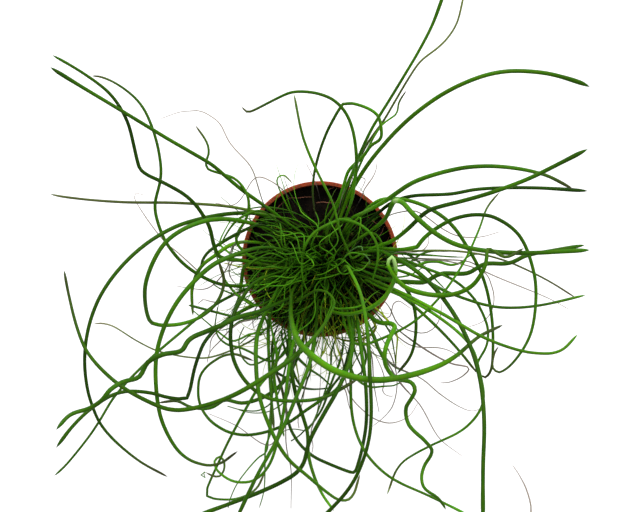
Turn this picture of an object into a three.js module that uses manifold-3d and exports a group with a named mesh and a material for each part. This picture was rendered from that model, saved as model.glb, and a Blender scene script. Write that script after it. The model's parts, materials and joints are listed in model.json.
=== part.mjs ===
// A corkscrew rush (Juncus effusus "spiralis" kind) growing in its round nursery pot.
//
// Millimetres, +Z up. The origin is the middle of the pot's flat underside, where it stands.
//
// The pot is a tapered plastic shell with a stepped rim band and drain holes. Potting mix fills
// it to a little under the rim. Every long stem is a body of its own that stands in a plain hole
// in the potting mix; the short young stems spring in tufts from a knuckle of rhizome, which sits
// in a hole of the same kind. The stems are eased apart where their routes cross, so that each
// one passes its neighbours with daylight between them.

import * as THREE from 'three';
import { mergeVertices } from 'three/addons/utils/BufferGeometryUtils.js';
import Module from 'manifold-3d';

const wasm = await Module();
wasm.setup();

// Pot
const RIM_RADIUS = 60;
const POT_HEIGHT = 108;
const BASE_RADIUS = 43;
const WALL = 1.6;
const RIM_BAND_HEIGHT = 18;
const RIM_BAND_DRAFT = 1.2;
const RIM_BAND_STEP = 3.4;
const LIP_THICKNESS = 2.8;
const LIP_ROUNDING = 0.9;
const FLOOR_THICKNESS = 5;
const FOOT_HEIGHT = 3;
const FOOT_WIDTH = 4;
const FOOT_CHAMFER = 1;
const BOSS_RADIUS = 17;
const CHANNEL_SLOPE = 2;
const DRAIN_HOLES = 6;
const DRAIN_HOLE_RADIUS = 3.5;
const DRAIN_HOLE_SIDES = 12;
const DRAIN_CIRCLE_RADIUS = 27;
const POT_FACETS = 40;

// Potting mix
const SOIL_BELOW_RIM = 9;
const SOIL_MOUND = 1.5;
const SOIL_EDGE = 3;
const FIT_GAP = 0.4;
const SOIL_FACETS = 32;

// Crown: where the stems leave the potting mix. Stems that start low stand at its edge, and
// those that are already at INNER_START_HEIGHT when their route begins stand near its middle.
const CROWN_CENTRE = new THREE.Vector2(3, -5);
const CROWN_RADIUS = 38;
const INNER_SHARE = 0.2;
const INNER_START_HEIGHT = 230;
const SITE_SPACING = 5.1;
const HOLE_DEPTH = 8;
const HOLE_SIDES = 5;
const COLLAR_HEIGHT = 3.5;
const GOLDEN_ANGLE = Math.PI * (3 - Math.sqrt(5));

// Stems: a section with few sides is a little wider than the round stem it stands for.
const STEM_SIDES = 4;
const TUFT_STEM_SIDES = 3;
const SECTION_FULLNESS = 1.14;
const TAPER_POWER = 1.4;
const POINT_LENGTH = 5;
const SAMPLE_STEP = 3;
const RING_TOLERANCE = 0.5;
const LONGEST_RING_STEP = 34;
const ROUTE_POINTS_PER_PLAN_POINT = 3;

// Easing apart
const DAYLIGHT = 1.15;
const EASING_PASSES = 200;
const EASING_REACH = 5;
const EASING_GAIN = 0.8;
const EVENING = 0.12;
const SPRING_BACK = 0.012;
const STIFF_SAMPLES = 4;
const OWN_NEIGHBOUR_LENGTH = 14;
const FLOOR_CLEARANCE = 2;

// Routes are written as they fall on the rim's plane when they are looked at from an eye point
// high on the pot's axis. A plan step is the rim's radius over PLAN_STEPS_PER_RIM.
const PLAN_STEPS_PER_RIM = 78;
const EYE_HEIGHT = 1600;

const SOIL_TOP = POT_HEIGHT - SOIL_BELOW_RIM;
const FIXED_SAMPLES = Math.ceil((HOLE_DEPTH + SOIL_MOUND + COLLAR_HEIGHT) / SAMPLE_STEP);
const BAND_BOTTOM = POT_HEIGHT - RIM_BAND_HEIGHT;
const BAND_RADIUS = RIM_RADIUS - RIM_BAND_DRAFT;
const SHOULDER_RADIUS = BAND_RADIUS - RIM_BAND_STEP;
const INNER_RIM_RADIUS = RIM_RADIUS - LIP_THICKNESS;
const INNER_BAND_RADIUS = INNER_RIM_RADIUS - 0.3;
const LEDGE_BOTTOM = BAND_BOTTOM + 0.6;
const LEDGE_TOP = LEDGE_BOTTOM + 2.5;

const TERRACOTTA = new THREE.Color(0.45, 0.16, 0.07);
const PEAT = new THREE.Color(0.02, 0.016, 0.01);
const GREEN = new THREE.Color(0.10, 0.30, 0.035);
const LIME = new THREE.Color(0.22, 0.46, 0.05);
const DARK = new THREE.Color(0.04, 0.15, 0.03);
const STRAW = new THREE.Color(0.30, 0.21, 0.10);

/** A stem as written in the lists below. */
function listedStem([name, colour, footThickness, pointThickness, heights, plan]) {
  return { name: `stem_${name}`, colour, footThickness, pointThickness, heights, plan };
}

// Long stems: name, colour, thickness at the foot and under the point (mm), heights above the
// floor at even stations along the route (mm), and the route itself in plan steps.
const LONG_STEMS = [
  ['nw_long', GREEN, 2.2, 1.8, [124, 170, 205, 236, 258],
    [[-20, 27], [-75, 68], [-113, 98], [-135, 110], [-198, 148], [-256, 183], [-270, 192]]],
  ['nw_s_bend', GREEN, 2.0, 1.1, [122, 158, 188, 204, 222, 238, 244],
    [[-35, -7], [-80, -1], [-101, 3], [-111, 33], [-130, 60], [-160, 78], [-179, 89], [-185, 109],
      [-193, 138], [-210, 165], [-245, 191], [-268, 204]]],
  ['west_thin_s', GREEN, 1.6, 0.7, [120, 140, 156, 166, 172, 172, 164],
    [[-40, -17], [-70, -26], [-100, -25], [-130, -10], [-148, 8], [-158, 25], [-165, 52],
      [-159, 86], [-166, 126], [-182, 158], [-215, 181], [-229, 183]]],
  ['nw_curl', GREEN, 1.8, 0.8, [120, 140, 158, 172, 184, 190],
    [[-30, -5], [-66, 0], [-84, 19], [-73, 43], [-73, 62], [-85, 79], [-114, 92], [-111, 107],
      [-114, 118], [-125, 134]]],
  ['north_arch', GREEN, 2.0, 0.9, [126, 172, 206, 226, 230, 218, 206],
    [[25, 37], [34, 67], [37, 99], [28, 142], [10, 161], [-26, 167], [-58, 153], [-72, 147],
      [-79, 153]]],
  ['north_spike', LIME, 2.2, 0.8, [142, 200, 245, 272, 284],
    [[32, 2], [21, 25], [13, 55], [-5, 92], [-17, 122], [-26, 165]]],
  ['north_kink', GREEN, 2.0, 1.1, [120, 146, 168, 188, 206, 214, 210, 198, 184, 172],
    [[2, 36], [15, 53], [22, 66], [29, 86], [43, 101], [53, 115], [61, 120], [61, 127], [58, 143],
      [42, 153], [24, 155], [16, 144], [4, 120], [-6, 84], [-7, 59], [-4, 41]]],
  ['north_loop', GREEN, 1.3, 0.6, [120, 142, 160, 168, 166],
    [[-28, 44], [-39, 66], [-43, 80], [-37, 84], [-27, 75]]],
  ['ne_tall', GREEN, 2.2, 1.6, [128, 180, 222, 252, 272, 284],
    [[18, 54], [33, 91], [50, 127], [70, 160], [87, 188], [110, 229], [126, 271]]],
  ['ne_crook', GREEN, 1.6, 0.7, [124, 156, 178, 188, 184],
    [[25, 59], [42, 99], [62, 134], [77, 146], [79, 157], [87, 169]]],
  ['ne_arch', LIME, 2.5, 2.2, [140, 198, 240, 268, 284, 288, 280, 266],
    [[25, 54], [37, 79], [60, 110], [90, 141], [130, 169], [175, 186], [217, 187], [256, 178],
      [270, 172]]],
  ['east_arch', GREEN, 2.2, 1.2, [132, 178, 212, 234, 242, 238, 224],
    [[32, 41], [62, 56], [92, 76], [120, 86], [150, 92], [185, 92], [225, 84], [253, 70]]],
  ['east_dark', DARK, 1.9, 1.7, [118, 138, 154, 166, 174, 178],
    [[52, 41], [75, 58], [100, 64], [130, 65], [160, 70], [220, 71], [268, 68]]],
  ['east_thick', GREEN, 2.3, 2.0, [150, 192, 224, 248, 264, 276, 284],
    [[50, 11], [72, 18], [90, 32], [108, 48], [135, 56], [170, 66], [210, 81], [256, 104],
      [268, 110]]],
  ['east_crossing', GREEN, 1.5, 0.7, [126, 150, 166, 176, 184, 190, 192],
    [[20, -41], [25, -66], [36, -85], [65, -78], [95, -62], [120, -38], [144, -3], [160, 32],
      [168, 53], [180, 67]]],
  ['west_arc_outer', GREEN, 2.1, 0.9, [126, 160, 186, 200, 204, 198, 184, 166],
    [[-35, 34], [-62, 45], [-100, 44], [-145, 32], [-185, 6], [-218, -34], [-233, -76],
      [-234, -121], [-220, -164], [-185, -199], [-152, -218]]],
  ['west_arc_inner', GREEN, 2.2, 1.4, [132, 174, 204, 216, 216, 196, 164, 150, 148, 150],
    [[-35, 24], [-70, 36], [-98, 40], [-125, 35], [-155, 16], [-174, -23], [-174, -49],
      [-169, -63], [-160, -66], [-135, -64], [-115, -55], [-101, -40], [-96, -21], [-102, -1]]],
  ['sw_big', LIME, 2.3, 1.0, [146, 200, 232, 240, 232, 222, 212, 202, 194],
    [[-22, -43], [0, -31], [14, -41], [5, -64], [-17, -90], [-58, -120], [-98, -141],
      [-145, -151], [-175, -141], [-208, -120], [-235, -89], [-250, -41], [-256, -11]]],
  ['west_arc_low', GREEN, 2.2, 0.8, [152, 192, 206, 202, 188, 172, 156, 144],
    [[-20, 4], [-58, 11], [-88, 3], [-110, -8], [-140, -39], [-155, -66], [-163, -93],
      [-164, -126], [-157, -165], [-135, -198], [-105, -206], [-82, -192]]],
  ['west_yellow', LIME, 1.4, 0.8, [116, 132, 140, 136, 124],
    [[-40, 14], [-84, 16], [-107, 2], [-120, -9], [-128, -31], [-127, -57]]],
  ['west_dark_long', DARK, 1.5, 0.9, [118, 132, 142, 146, 142, 132, 118],
    [[-60, -24], [-102, -44], [-140, -74], [-170, -100], [-205, -137], [-227, -172],
      [-256, -208], [-266, -217]]],
  ['sw_twist', GREEN, 2.5, 1.8, [152, 192, 216, 218, 236, 232, 248, 242, 254],
    [[-30, -39], [-65, -54], [-84, -59], [-98, -66], [-115, -73], [-130, -80], [-139, -92],
      [-155, -95], [-172, -103], [-181, -118], [-195, -122], [-210, -131], [-218, -141],
      [-230, -149], [-250, -156], [-264, -171]]],
  ['sw_bend', GREEN, 1.9, 1.7, [124, 150, 168, 174, 184, 198, 204, 206],
    [[-58, -43], [-80, -53], [-104, -70], [-116, -84], [-125, -108], [-134, -138], [-148, -139],
      [-175, -133], [-202, -134], [-228, -149], [-248, -168], [-264, -189]]],
  ['sw_wavy', DARK, 1.5, 0.9, [120, 134, 134, 124, 116, 112],
    [[-10, -51], [-20, -91], [-35, -121], [-56, -138], [-80, -144], [-95, -141], [-110, -149],
      [-130, -148], [-143, -142], [-162, -144]]],
  ['sw_ring', GREEN, 1.8, 1.1, [126, 156, 170, 168, 156, 144, 138, 138],
    [[30, -41], [32, -86], [20, -126], [-8, -147], [-40, -168], [-75, -176], [-100, -169],
      [-117, -152], [-122, -131], [-117, -112], [-90, -95], [-66, -102]]],
  ['south_left', GREEN, 2.2, 0.9, [136, 178, 202, 212, 210, 198, 182, 172],
    [[-40, -25], [-62, -73], [-64, -101], [-62, -129], [-55, -156], [-35, -196], [-10, -219],
      [20, -241], [31, -239], [40, -215]]],
  ['south_arc', GREEN, 2.0, 1.4, [138, 176, 198, 200, 194, 184, 168],
    [[-35, -11], [-65, -24], [-79, -41], [-88, -61], [-89, -86], [-84, -107], [-70, -127],
      [-52, -139], [-25, -142], [5, -138], [38, -120]]],
  ['south_plumb', DARK, 1.7, 1.2, [118, 134, 130, 114, 92],
    [[-40, -30], [-51, -60], [-51, -100], [-49, -136], [-46, -171]]],
  ['south_trail', GREEN, 1.9, 1.1, [122, 148, 160, 156, 142, 122, 100],
    [[-28, -40], [-30, -86], [-28, -116], [-22, -144], [-13, -171], [-11, -199], [0, -231],
      [14, -252]]],
  ['south_kink', DARK, 1.9, 1.2, [126, 154, 162, 154, 128, 110, 100, 92, 86],
    [[35, -41], [40, -81], [46, -131], [46, -166], [41, -194], [33, -214], [25, -211],
      [-10, -195], [-28, -173], [-34, -151], [-40, -123], [-45, -113]]],
  ['south_cross', GREEN, 2.0, 1.9, [128, 164, 182, 186, 182, 176, 170],
    [[25, -41], [32, -91], [20, -126], [5, -153], [-10, -181], [-20, -210], [-58, -232],
      [-113, -253], [-125, -258]]],
  ['south_lean', GREEN, 2.1, 1.6, [132, 182, 208, 220, 224, 222],
    [[-2, -41], [-8, -96], [-25, -141], [-43, -181], [-60, -211], [-70, -231], [-84, -261]]],
  ['south_curl', GREEN, 1.7, 0.7, [124, 160, 176, 172, 160, 148, 138, 132],
    [[-20, -51], [-30, -101], [-37, -156], [-44, -186], [-52, -208], [-68, -222], [-90, -221],
      [-106, -205], [-101, -197], [-95, -207], [-102, -218], [-115, -213]]],
  ['south_hook', GREEN, 1.7, 1.0, [120, 142, 150, 146, 136, 118, 104, 98],
    [[-15, -56], [-35, -103], [-56, -121], [-71, -144], [-83, -166], [-98, -196], [-113, -236],
      [-107, -239], [-85, -240], [-65, -231], [-55, -213]]],
  ['south_bright', LIME, 3.0, 0.8, [162, 220, 256, 272, 276, 268, 252, 238, 228],
    [[-28, -34], [-29, -57], [-22, -82], [-5, -99], [18, -113], [55, -121], [95, -115],
      [130, -101], [160, -77], [183, -66]]],
  ['south_vertical', LIME, 3.0, 2.0, [192, 250, 278, 286, 282, 266, 248],
    [[29, -7], [40, -33], [47, -69], [50, -116], [51, -161], [47, -189], [32, -225], [8, -253],
      [0, -260]]],
  ['se_trail', GREEN, 1.8, 1.2, [128, 150, 160, 160, 150, 138, 126],
    [[32, -61], [31, -101], [33, -161], [46, -194], [70, -218], [105, -235], [142, -253],
      [150, -258]]],
  ['se_corkscrew', GREEN, 2.5, 1.2, [150, 186, 208, 198, 216, 202, 214, 198, 206, 192],
    [[45, -53], [58, -63], [75, -66], [73, -72], [66, -88], [65, -104], [75, -119], [92, -124],
      [95, -132], [86, -149], [89, -166], [105, -182], [112, -192], [103, -210], [103, -227],
      [120, -241], [126, -251]]],
  ['east_bow', GREEN, 1.8, 1.2, [124, 146, 156, 152, 140, 126],
    [[35, -3], [65, -13], [83, -26], [93, -45], [96, -69], [91, -96], [77, -115]]],
  ['se_slant', GREEN, 1.6, 0.9, [122, 140, 150, 152, 146, 136],
    [[38, -13], [65, -27], [90, -44], [120, -71], [142, -95], [157, -114]]],
  ['east_drop', GREEN, 2.1, 1.1, [126, 162, 184, 188, 178, 162, 142, 120],
    [[30, 34], [58, 58], [77, 60], [100, 55], [128, 38], [146, 14], [162, -16], [170, -46],
      [173, -81], [170, -113], [163, -119], [159, -115]]],
  ['east_vertical', GREEN, 2.4, 1.9, [160, 206, 238, 262, 276, 280, 274],
    [[60, 9], [85, -4], [115, -29], [142, -69], [158, -111], [164, -156], [163, -211],
      [163, -263]]],
  ['east_lime', LIME, 2.5, 1.2, [176, 224, 254, 270, 276, 272, 264],
    [[60, -24], [90, -38], [130, -59], [155, -74], [185, -87], [215, -94], [240, -92],
      [258, -75]]],
  ['east_swoop', LIME, 2.4, 0.8, [132, 164, 196, 226, 248, 240, 226, 226, 236, 246, 240, 230],
    [[-2, -48], [30, -55], [62, -41], [75, -17], [72, 2], [68, -2], [82, -25], [105, -35],
      [132, -36], [153, -26], [166, -4], [168, 10], [177, 5], [187, 2], [204, 11]]],
  ['east_wavy', DARK, 2.2, 1.5, [134, 156, 172, 184, 190, 190],
    [[35, -9], [68, -21], [92, -23], [105, -23], [120, -15], [148, -14], [165, -5], [190, -4],
      [205, 3], [236, 9], [265, 14]]],
  ['east_straight', GREEN, 2.4, 2.0, [152, 196, 236, 240, 232, 226, 226, 230, 236, 240],
    [[48, 26], [65, 40], [75, 58], [80, 58], [95, 43], [115, 26], [135, 15], [160, 9], [200, 6],
      [270, 9]]],
  ['east_ring', GREEN, 2.1, 0.7, [142, 172, 196, 208, 212, 204, 192, 182, 170, 162],
    [[40, 9], [65, 9], [97, 12], [102, 19], [120, 33], [140, 42], [170, 43], [198, 25],
      [212, -6], [216, -36], [209, -79], [186, -110], [175, -113], [173, -98], [179, -87]]],
  ['east_low', GREEN, 1.6, 1.0, [120, 142, 160, 172, 174, 168],
    [[40, -3], [70, -9], [100, -19], [132, -35], [177, -48], [215, -47], [266, -36]]],
  ['se_return', GREEN, 1.8, 0.8, [126, 160, 182, 190, 182, 164, 152, 144],
    [[45, -21], [100, -46], [150, -86], [160, -116], [163, -144], [145, -169], [112, -186],
      [80, -206], [67, -236]]],
].map(listedStem);

// Dry stems, thin and straw-coloured, written in the same way.
const DRY_STEMS = [
  ['dry_west', STRAW, 1.3, 0.7, [118, 140, 160, 176, 186],
    [[-45, 43], [-88, 52], [-140, 56], [-200, 57], [-256, 62], [-270, 65]]],
  ['dry_ne', STRAW, 1.1, 0.6, [122, 148, 174, 196, 212, 222, 226],
    [[20, 44], [32, 81], [46, 113], [64, 139], [81, 168], [100, 197], [122, 215], [136, 234],
      [145, 269]]],
  ['dry_sw', STRAW, 1.1, 0.6, [112, 120, 124, 122, 114],
    [[-45, -61], [-65, -79], [-88, -91], [-115, -99], [-145, -96], [-170, -89], [-213, -65],
      [-227, -65]]],
  ['dry_east', STRAW, 1.1, 0.6, [116, 134, 142, 138, 126],
    [[30, 4], [78, 7], [135, 8], [180, 0], [225, -20], [256, -39]]],
].map(listedStem);

// Tufts of young stems: the heading of the middle stem (degrees, anticlockwise from +X), the
// fan that the stems open to, how far out they reach and how high they stand over the soil.
const TUFTS = [
  { name: 'tuft_west', heading: 172, fan: 70, reach: 62, rise: 46 },
  { name: 'tuft_northwest', heading: 128, fan: 80, reach: 46, rise: 58 },
  { name: 'tuft_southwest', heading: 218, fan: 70, reach: 60, rise: 52 },
  { name: 'tuft_south', heading: 268, fan: 70, reach: 72, rise: 40 },
  { name: 'tuft_northeast', heading: 40, fan: 110, reach: 36, rise: 84 },
];
const TUFT_STEMS = 6;
const TUFT_STEM_THICKNESS = 1.4;
const TUFT_POINT_THICKNESS = 0.8;
const TUFT_ROUTE_POINTS = 14;
const TUFT_SEED = 41;
const TUFT_RING_RADIUS = 20;
const TUFT_ROOT_RADIUS = 1.3;
const TUFT_START_HEIGHT = 10;
const KNUCKLE_RADIUS = 3.6;
const KNUCKLE_TOP_RADIUS = 2.2;
const KNUCKLE_RISE = 3.5;
const KNUCKLE_SIDES = 8;
const FUSED_LENGTH = HOLE_DEPTH + SOIL_MOUND + KNUCKLE_RISE;

/** Repeatable random numbers from 0 to 1, made by the minimal standard generator. */
function seededRandom(seed) {
  const multiplier = 16807;
  const modulus = 2 ** 31 - 1;
  let state = seed;
  return () => {
    state = (state * multiplier) % modulus;
    return state / modulus;
  };
}

/** The geometry with shared vertices merged and nothing but positions left. */
function positionsOnly(geometry) {
  const bare = geometry.clone();
  bare.deleteAttribute('normal');
  bare.deleteAttribute('uv');
  return mergeVertices(bare, 1e-4);
}

/** A closed geometry as a solid that can be joined and cut. */
function toSolid(geometry) {
  const merged = positionsOnly(geometry);
  const vertProperties = new Float32Array(merged.attributes.position.array);
  const triVerts = new Uint32Array(merged.index.array);
  return new wasm.Manifold(new wasm.Mesh({ numProp: 3, vertProperties, triVerts }));
}

/** A solid back as a geometry. */
function toGeometry(solid) {
  const mesh = solid.getMesh();
  const geometry = new THREE.BufferGeometry();
  geometry.setAttribute('position', new THREE.BufferAttribute(mesh.vertProperties, 3));
  geometry.setIndex(new THREE.BufferAttribute(mesh.triVerts, 1));
  return geometry;
}

/** A profile of [radius, height] pairs turned about +Z. */
function turned(profile, facets) {
  const points = profile.map(([radius, height]) => new THREE.Vector2(radius, height));
  return new THREE.LatheGeometry(points, facets).rotateX(Math.PI / 2);
}

/** An upright prism or cone frustum with its foot at z = 0. */
function upright(footRadius, topRadius, height, sides) {
  return new THREE.CylinderGeometry(topRadius, footRadius, height, sides)
    .rotateX(Math.PI / 2)
    .translate(0, 0, height / 2);
}

/** The pot: foot ring, flat boss under the middle, tapered wall, stepped band, rounded lip. */
function buildPot() {
  const channelOuter = BASE_RADIUS - FOOT_WIDTH;
  const profile = [
    [0, 0],
    [BOSS_RADIUS, 0],
    [BOSS_RADIUS + CHANNEL_SLOPE, FOOT_HEIGHT],
    [channelOuter - CHANNEL_SLOPE, FOOT_HEIGHT],
    [channelOuter, 0],
    [BASE_RADIUS - FOOT_CHAMFER, 0],
    [BASE_RADIUS, FOOT_CHAMFER],
    [SHOULDER_RADIUS, BAND_BOTTOM - WALL / 2],
    [BAND_RADIUS, BAND_BOTTOM + WALL / 2],
    [RIM_RADIUS, POT_HEIGHT - LIP_ROUNDING],
    [RIM_RADIUS - LIP_ROUNDING, POT_HEIGHT],
    [INNER_RIM_RADIUS + LIP_ROUNDING, POT_HEIGHT],
    [INNER_RIM_RADIUS, POT_HEIGHT - LIP_ROUNDING],
    [INNER_BAND_RADIUS, LEDGE_TOP],
    [SHOULDER_RADIUS - WALL, LEDGE_BOTTOM],
    [BASE_RADIUS - WALL, FLOOR_THICKNESS],
    [0, FLOOR_THICKNESS],
  ];
  let pot = toSolid(turned(profile, POT_FACETS));
  for (let i = 0; i < DRAIN_HOLES; i += 1) {
    const angle = (i / DRAIN_HOLES) * 2 * Math.PI;
    const length = FLOOR_THICKNESS * 2;
    const drill = upright(DRAIN_HOLE_RADIUS, DRAIN_HOLE_RADIUS, length, DRAIN_HOLE_SIDES);
    drill.translate(
      DRAIN_CIRCLE_RADIUS * Math.cos(angle),
      DRAIN_CIRCLE_RADIUS * Math.sin(angle),
      (FLOOR_THICKNESS - length) / 2,
    );
    pot = pot.subtract(toSolid(drill));
  }
  return toGeometry(pot);
}

/** The potting mix: it fills the pot, and has a plain hole for every foot that stands in it. */
function buildSoil(feet) {
  const soilRadius = INNER_BAND_RADIUS - FIT_GAP;
  const profile = [
    [0, FLOOR_THICKNESS + FIT_GAP],
    [BASE_RADIUS - WALL - FIT_GAP, FLOOR_THICKNESS + FIT_GAP],
    [SHOULDER_RADIUS - WALL - FIT_GAP, LEDGE_BOTTOM + FIT_GAP],
    [soilRadius, LEDGE_TOP + FIT_GAP],
    [soilRadius, SOIL_TOP - SOIL_MOUND],
    [soilRadius - SOIL_EDGE, SOIL_TOP],
    [soilRadius / 2, SOIL_TOP + SOIL_MOUND],
    [0, SOIL_TOP + SOIL_MOUND],
  ];
  let soil = toSolid(turned(profile, SOIL_FACETS));
  for (const foot of feet) {
    const drill = upright(foot.holeRadius, foot.holeRadius, HOLE_DEPTH * 2, foot.holeSides);
    drill.translate(foot.site.x, foot.site.y, SOIL_TOP - HOLE_DEPTH);
    soil = soil.subtract(toSolid(drill));
  }
  return toGeometry(soil);
}

/** Places in the crown where stems come up, spread evenly like seeds in a sunflower head. */
function crownSites(count) {
  const sites = [];
  for (let i = 0; i < count; i += 1) {
    const radius = SITE_SPACING * Math.sqrt(i + 0.5);
    const angle = i * GOLDEN_ANGLE;
    sites.push(new THREE.Vector2(
      CROWN_CENTRE.x + radius * Math.cos(angle),
      CROWN_CENTRE.y + radius * Math.sin(angle),
    ));
  }
  return sites;
}

/** The point at height z that a plan point covers when seen from the eye point. */
function placed(planX, planY, z) {
  const step = RIM_RADIUS / PLAN_STEPS_PER_RIM;
  const scale = step * (EYE_HEIGHT - z) / (EYE_HEIGHT - POT_HEIGHT);
  return new THREE.Vector3(planX * scale, planY * scale, z);
}

/** A smooth value at t (0 to 1) through values at even stations. */
function smoothAt(values, t) {
  const knots = values.map((value, i) => new THREE.Vector2(i, value));
  return new THREE.SplineCurve(knots).getPoint(t).y;
}

/** Points along a long stem above the soil, from its plan route and its heights. */
function raisedRoute(plan, heights) {
  const flat = new THREE.CatmullRomCurve3(
    plan.map(([x, y]) => new THREE.Vector3(x, y, 0)),
    false,
    'centripetal',
  );
  const count = plan.length * ROUTE_POINTS_PER_PLAN_POINT;
  return flat.getSpacedPoints(count).map((point, i) => (
    placed(point.x, point.y, smoothAt(heights, i / count))
  ));
}

/** Points along one young stem: a loose corkscrew that rises, then leans out along its heading. */
function tuftRoute(site, tuft, random) {
  const heading = THREE.MathUtils.degToRad(tuft.heading + (random() - 0.5) * tuft.fan);
  const reach = tuft.reach * (0.55 + 0.45 * random());
  const rise = tuft.rise * (0.6 + 0.5 * random());
  const coil = 3 + 4 * random();
  const turns = 1.1 + 0.9 * random();
  const phase = random() * 2 * Math.PI;
  const points = [];
  for (let i = 1; i <= TUFT_ROUTE_POINTS; i += 1) {
    const t = i / TUFT_ROUTE_POINTS;
    const swing = coil * Math.min(1, 1.6 * t);
    const turn = phase + turns * 2 * Math.PI * t;
    const out = reach * t ** 1.7;
    const side = swing * Math.cos(turn);
    points.push(new THREE.Vector3(
      site.x + out * Math.cos(heading) - side * Math.sin(heading),
      site.y + out * Math.sin(heading) + side * Math.cos(heading),
      SOIL_TOP + TUFT_START_HEIGHT + rise * Math.sin(2.2 * t) + 0.8 * swing * Math.sin(turn),
    ));
  }
  return points;
}

/** Thickness radius of a stem a share t of the way along it. */
function stemRadius(stem, t) {
  return THREE.MathUtils.lerp(stem.footThickness, stem.pointThickness, t ** TAPER_POWER) / 2;
}

/** A stem as evenly spaced samples and radii, from the bottom of its hole to its point. */
function sampledStem(foot, route, stem) {
  const bottom = new THREE.Vector3(foot.x, foot.y, SOIL_TOP - HOLE_DEPTH + FIT_GAP);
  const collar = new THREE.Vector3(foot.x, foot.y, SOIL_TOP + SOIL_MOUND + COLLAR_HEIGHT);
  const shank = collar.clone().lerp(route[0], 0.2).setZ((collar.z + route[0].z) / 2);
  const points = [bottom, collar, shank, ...route];
  const curve = new THREE.CatmullRomCurve3(points, false, 'centripetal');
  const count = Math.round(curve.getLength() / SAMPLE_STEP);
  curve.arcLengthDivisions = count * 4;
  const path = curve.getSpacedPoints(count);
  return { ...stem, path, radii: path.map((_, i) => stemRadius(stem, i / count)) };
}

/** Unit direction of a path at sample i. */
function directionAt(path, i) {
  const before = path[Math.max(0, i - 1)];
  const after = path[Math.min(path.length - 1, i + 1)];
  return after.clone().sub(before).normalize();
}

/** Whether two samples are joined by growth, so that they may touch. */
function grownTogether(a, b) {
  if (a.stem === b.stem) {
    return Math.abs(a.i - b.i) * SAMPLE_STEP < OWN_NEIGHBOUR_LENGTH;
  }
  const oneTuft = a.stem.tuft !== undefined && a.stem.tuft === b.stem.tuft;
  return oneTuft && Math.min(a.i, b.i) * SAMPLE_STEP < FUSED_LENGTH;
}

/** All samples sorted into cubic cells, so that near ones are found quickly. */
function cellsOf(stems, size) {
  const cells = new Map();
  for (const stem of stems) {
    stem.path.forEach((point, i) => {
      const key = [point.x, point.y, point.z].map((v) => Math.floor(v / size)).join();
      if (!cells.has(key)) {
        cells.set(key, []);
      }
      cells.get(key).push({ stem, i, point });
    });
  }
  return cells;
}

/** Calls visit(a, b) once for each pair of samples in the same or touching cells. */
function eachNearPair(cells, visit) {
  for (const [key, here] of cells) {
    const [x, y, z] = key.split(',').map(Number);
    for (let n = 0; n < 27; n += 1) {
      const near = [x + (n % 3) - 1, y + (Math.floor(n / 3) % 3) - 1, z + Math.floor(n / 9) - 1];
      for (const a of here) {
        for (const b of cells.get(near.join()) ?? []) {
          if (a.stem.order < b.stem.order || (a.stem === b.stem && a.i < b.i)) {
            visit(a, b);
          }
        }
      }
    }
  }
}

/** The way apart for two close samples: square to both stems, or to one if they run alike. */
function wayApart(a, b) {
  const leastCrossing = 0.35;
  const between = a.point.clone().sub(b.point);
  const along = directionAt(a.stem.path, a.i);
  const across = along.clone().cross(directionAt(b.stem.path, b.i));
  if (across.length() > leastCrossing) {
    across.normalize();
    return across.dot(between) < 0 ? across.negate() : across;
  }
  between.addScaledVector(along, -between.dot(along));
  return between.normalize();
}

/** Spreads the pushes on single samples into smooth shifts of the stem around them. */
function spreadPushes(stem, pushes, gain) {
  for (let i = FIXED_SAMPLES; i < stem.path.length; i += 1) {
    const shift = new THREE.Vector3();
    let total = 0;
    let strongest = 0;
    for (let k = -EASING_REACH; k <= EASING_REACH; k += 1) {
      const push = pushes[i + k];
      if (push && i + k >= FIXED_SAMPLES) {
        const weight = (1 + Math.cos((Math.PI * k) / (EASING_REACH + 1))) / 2;
        shift.addScaledVector(push, weight);
        total += weight;
        strongest = Math.max(strongest, weight);
      }
    }
    if (total > 0) {
      const freedom = Math.min(1, (i - FIXED_SAMPLES + 1) / STIFF_SAMPLES);
      stem.shifts[i].addScaledVector(shift, (freedom * strongest * gain) / total);
    }
  }
}

/** Evens out a stem's shifts along its length, and lets it spring back a little. */
function relaxShifts(stem, springBack) {
  const last = stem.shifts.length - 1;
  const even = stem.shifts.map((shift, i) => {
    const before = stem.shifts[Math.max(0, i - 1)];
    const after = stem.shifts[Math.min(last, i + 1)];
    return shift.clone().lerp(before.clone().add(after).divideScalar(2), EVENING);
  });
  even.forEach((shift, i) => {
    stem.shifts[i] = i < FIXED_SAMPLES ? shift.set(0, 0, 0) : shift.multiplyScalar(1 - springBack);
    stem.path[i].copy(stem.grown[i]).add(stem.shifts[i]);
  });
}

/** How far a sample must move to clear the floor, the soil and the pot's wall and rim. */
function clearOfPot(point, radius) {
  const room = radius + DAYLIGHT;
  const fromAxis = Math.hypot(point.x, point.y);
  const upTo = (height) => (point.z < height ? new THREE.Vector3(0, 0, height - point.z) : null);
  if (fromAxis < INNER_RIM_RADIUS - room) {
    return upTo(SOIL_TOP + SOIL_MOUND + room);
  }
  if (fromAxis < RIM_RADIUS + room) {
    return upTo(POT_HEIGHT + room);
  }
  return upTo(radius + FLOOR_CLEARANCE);
}

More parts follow.
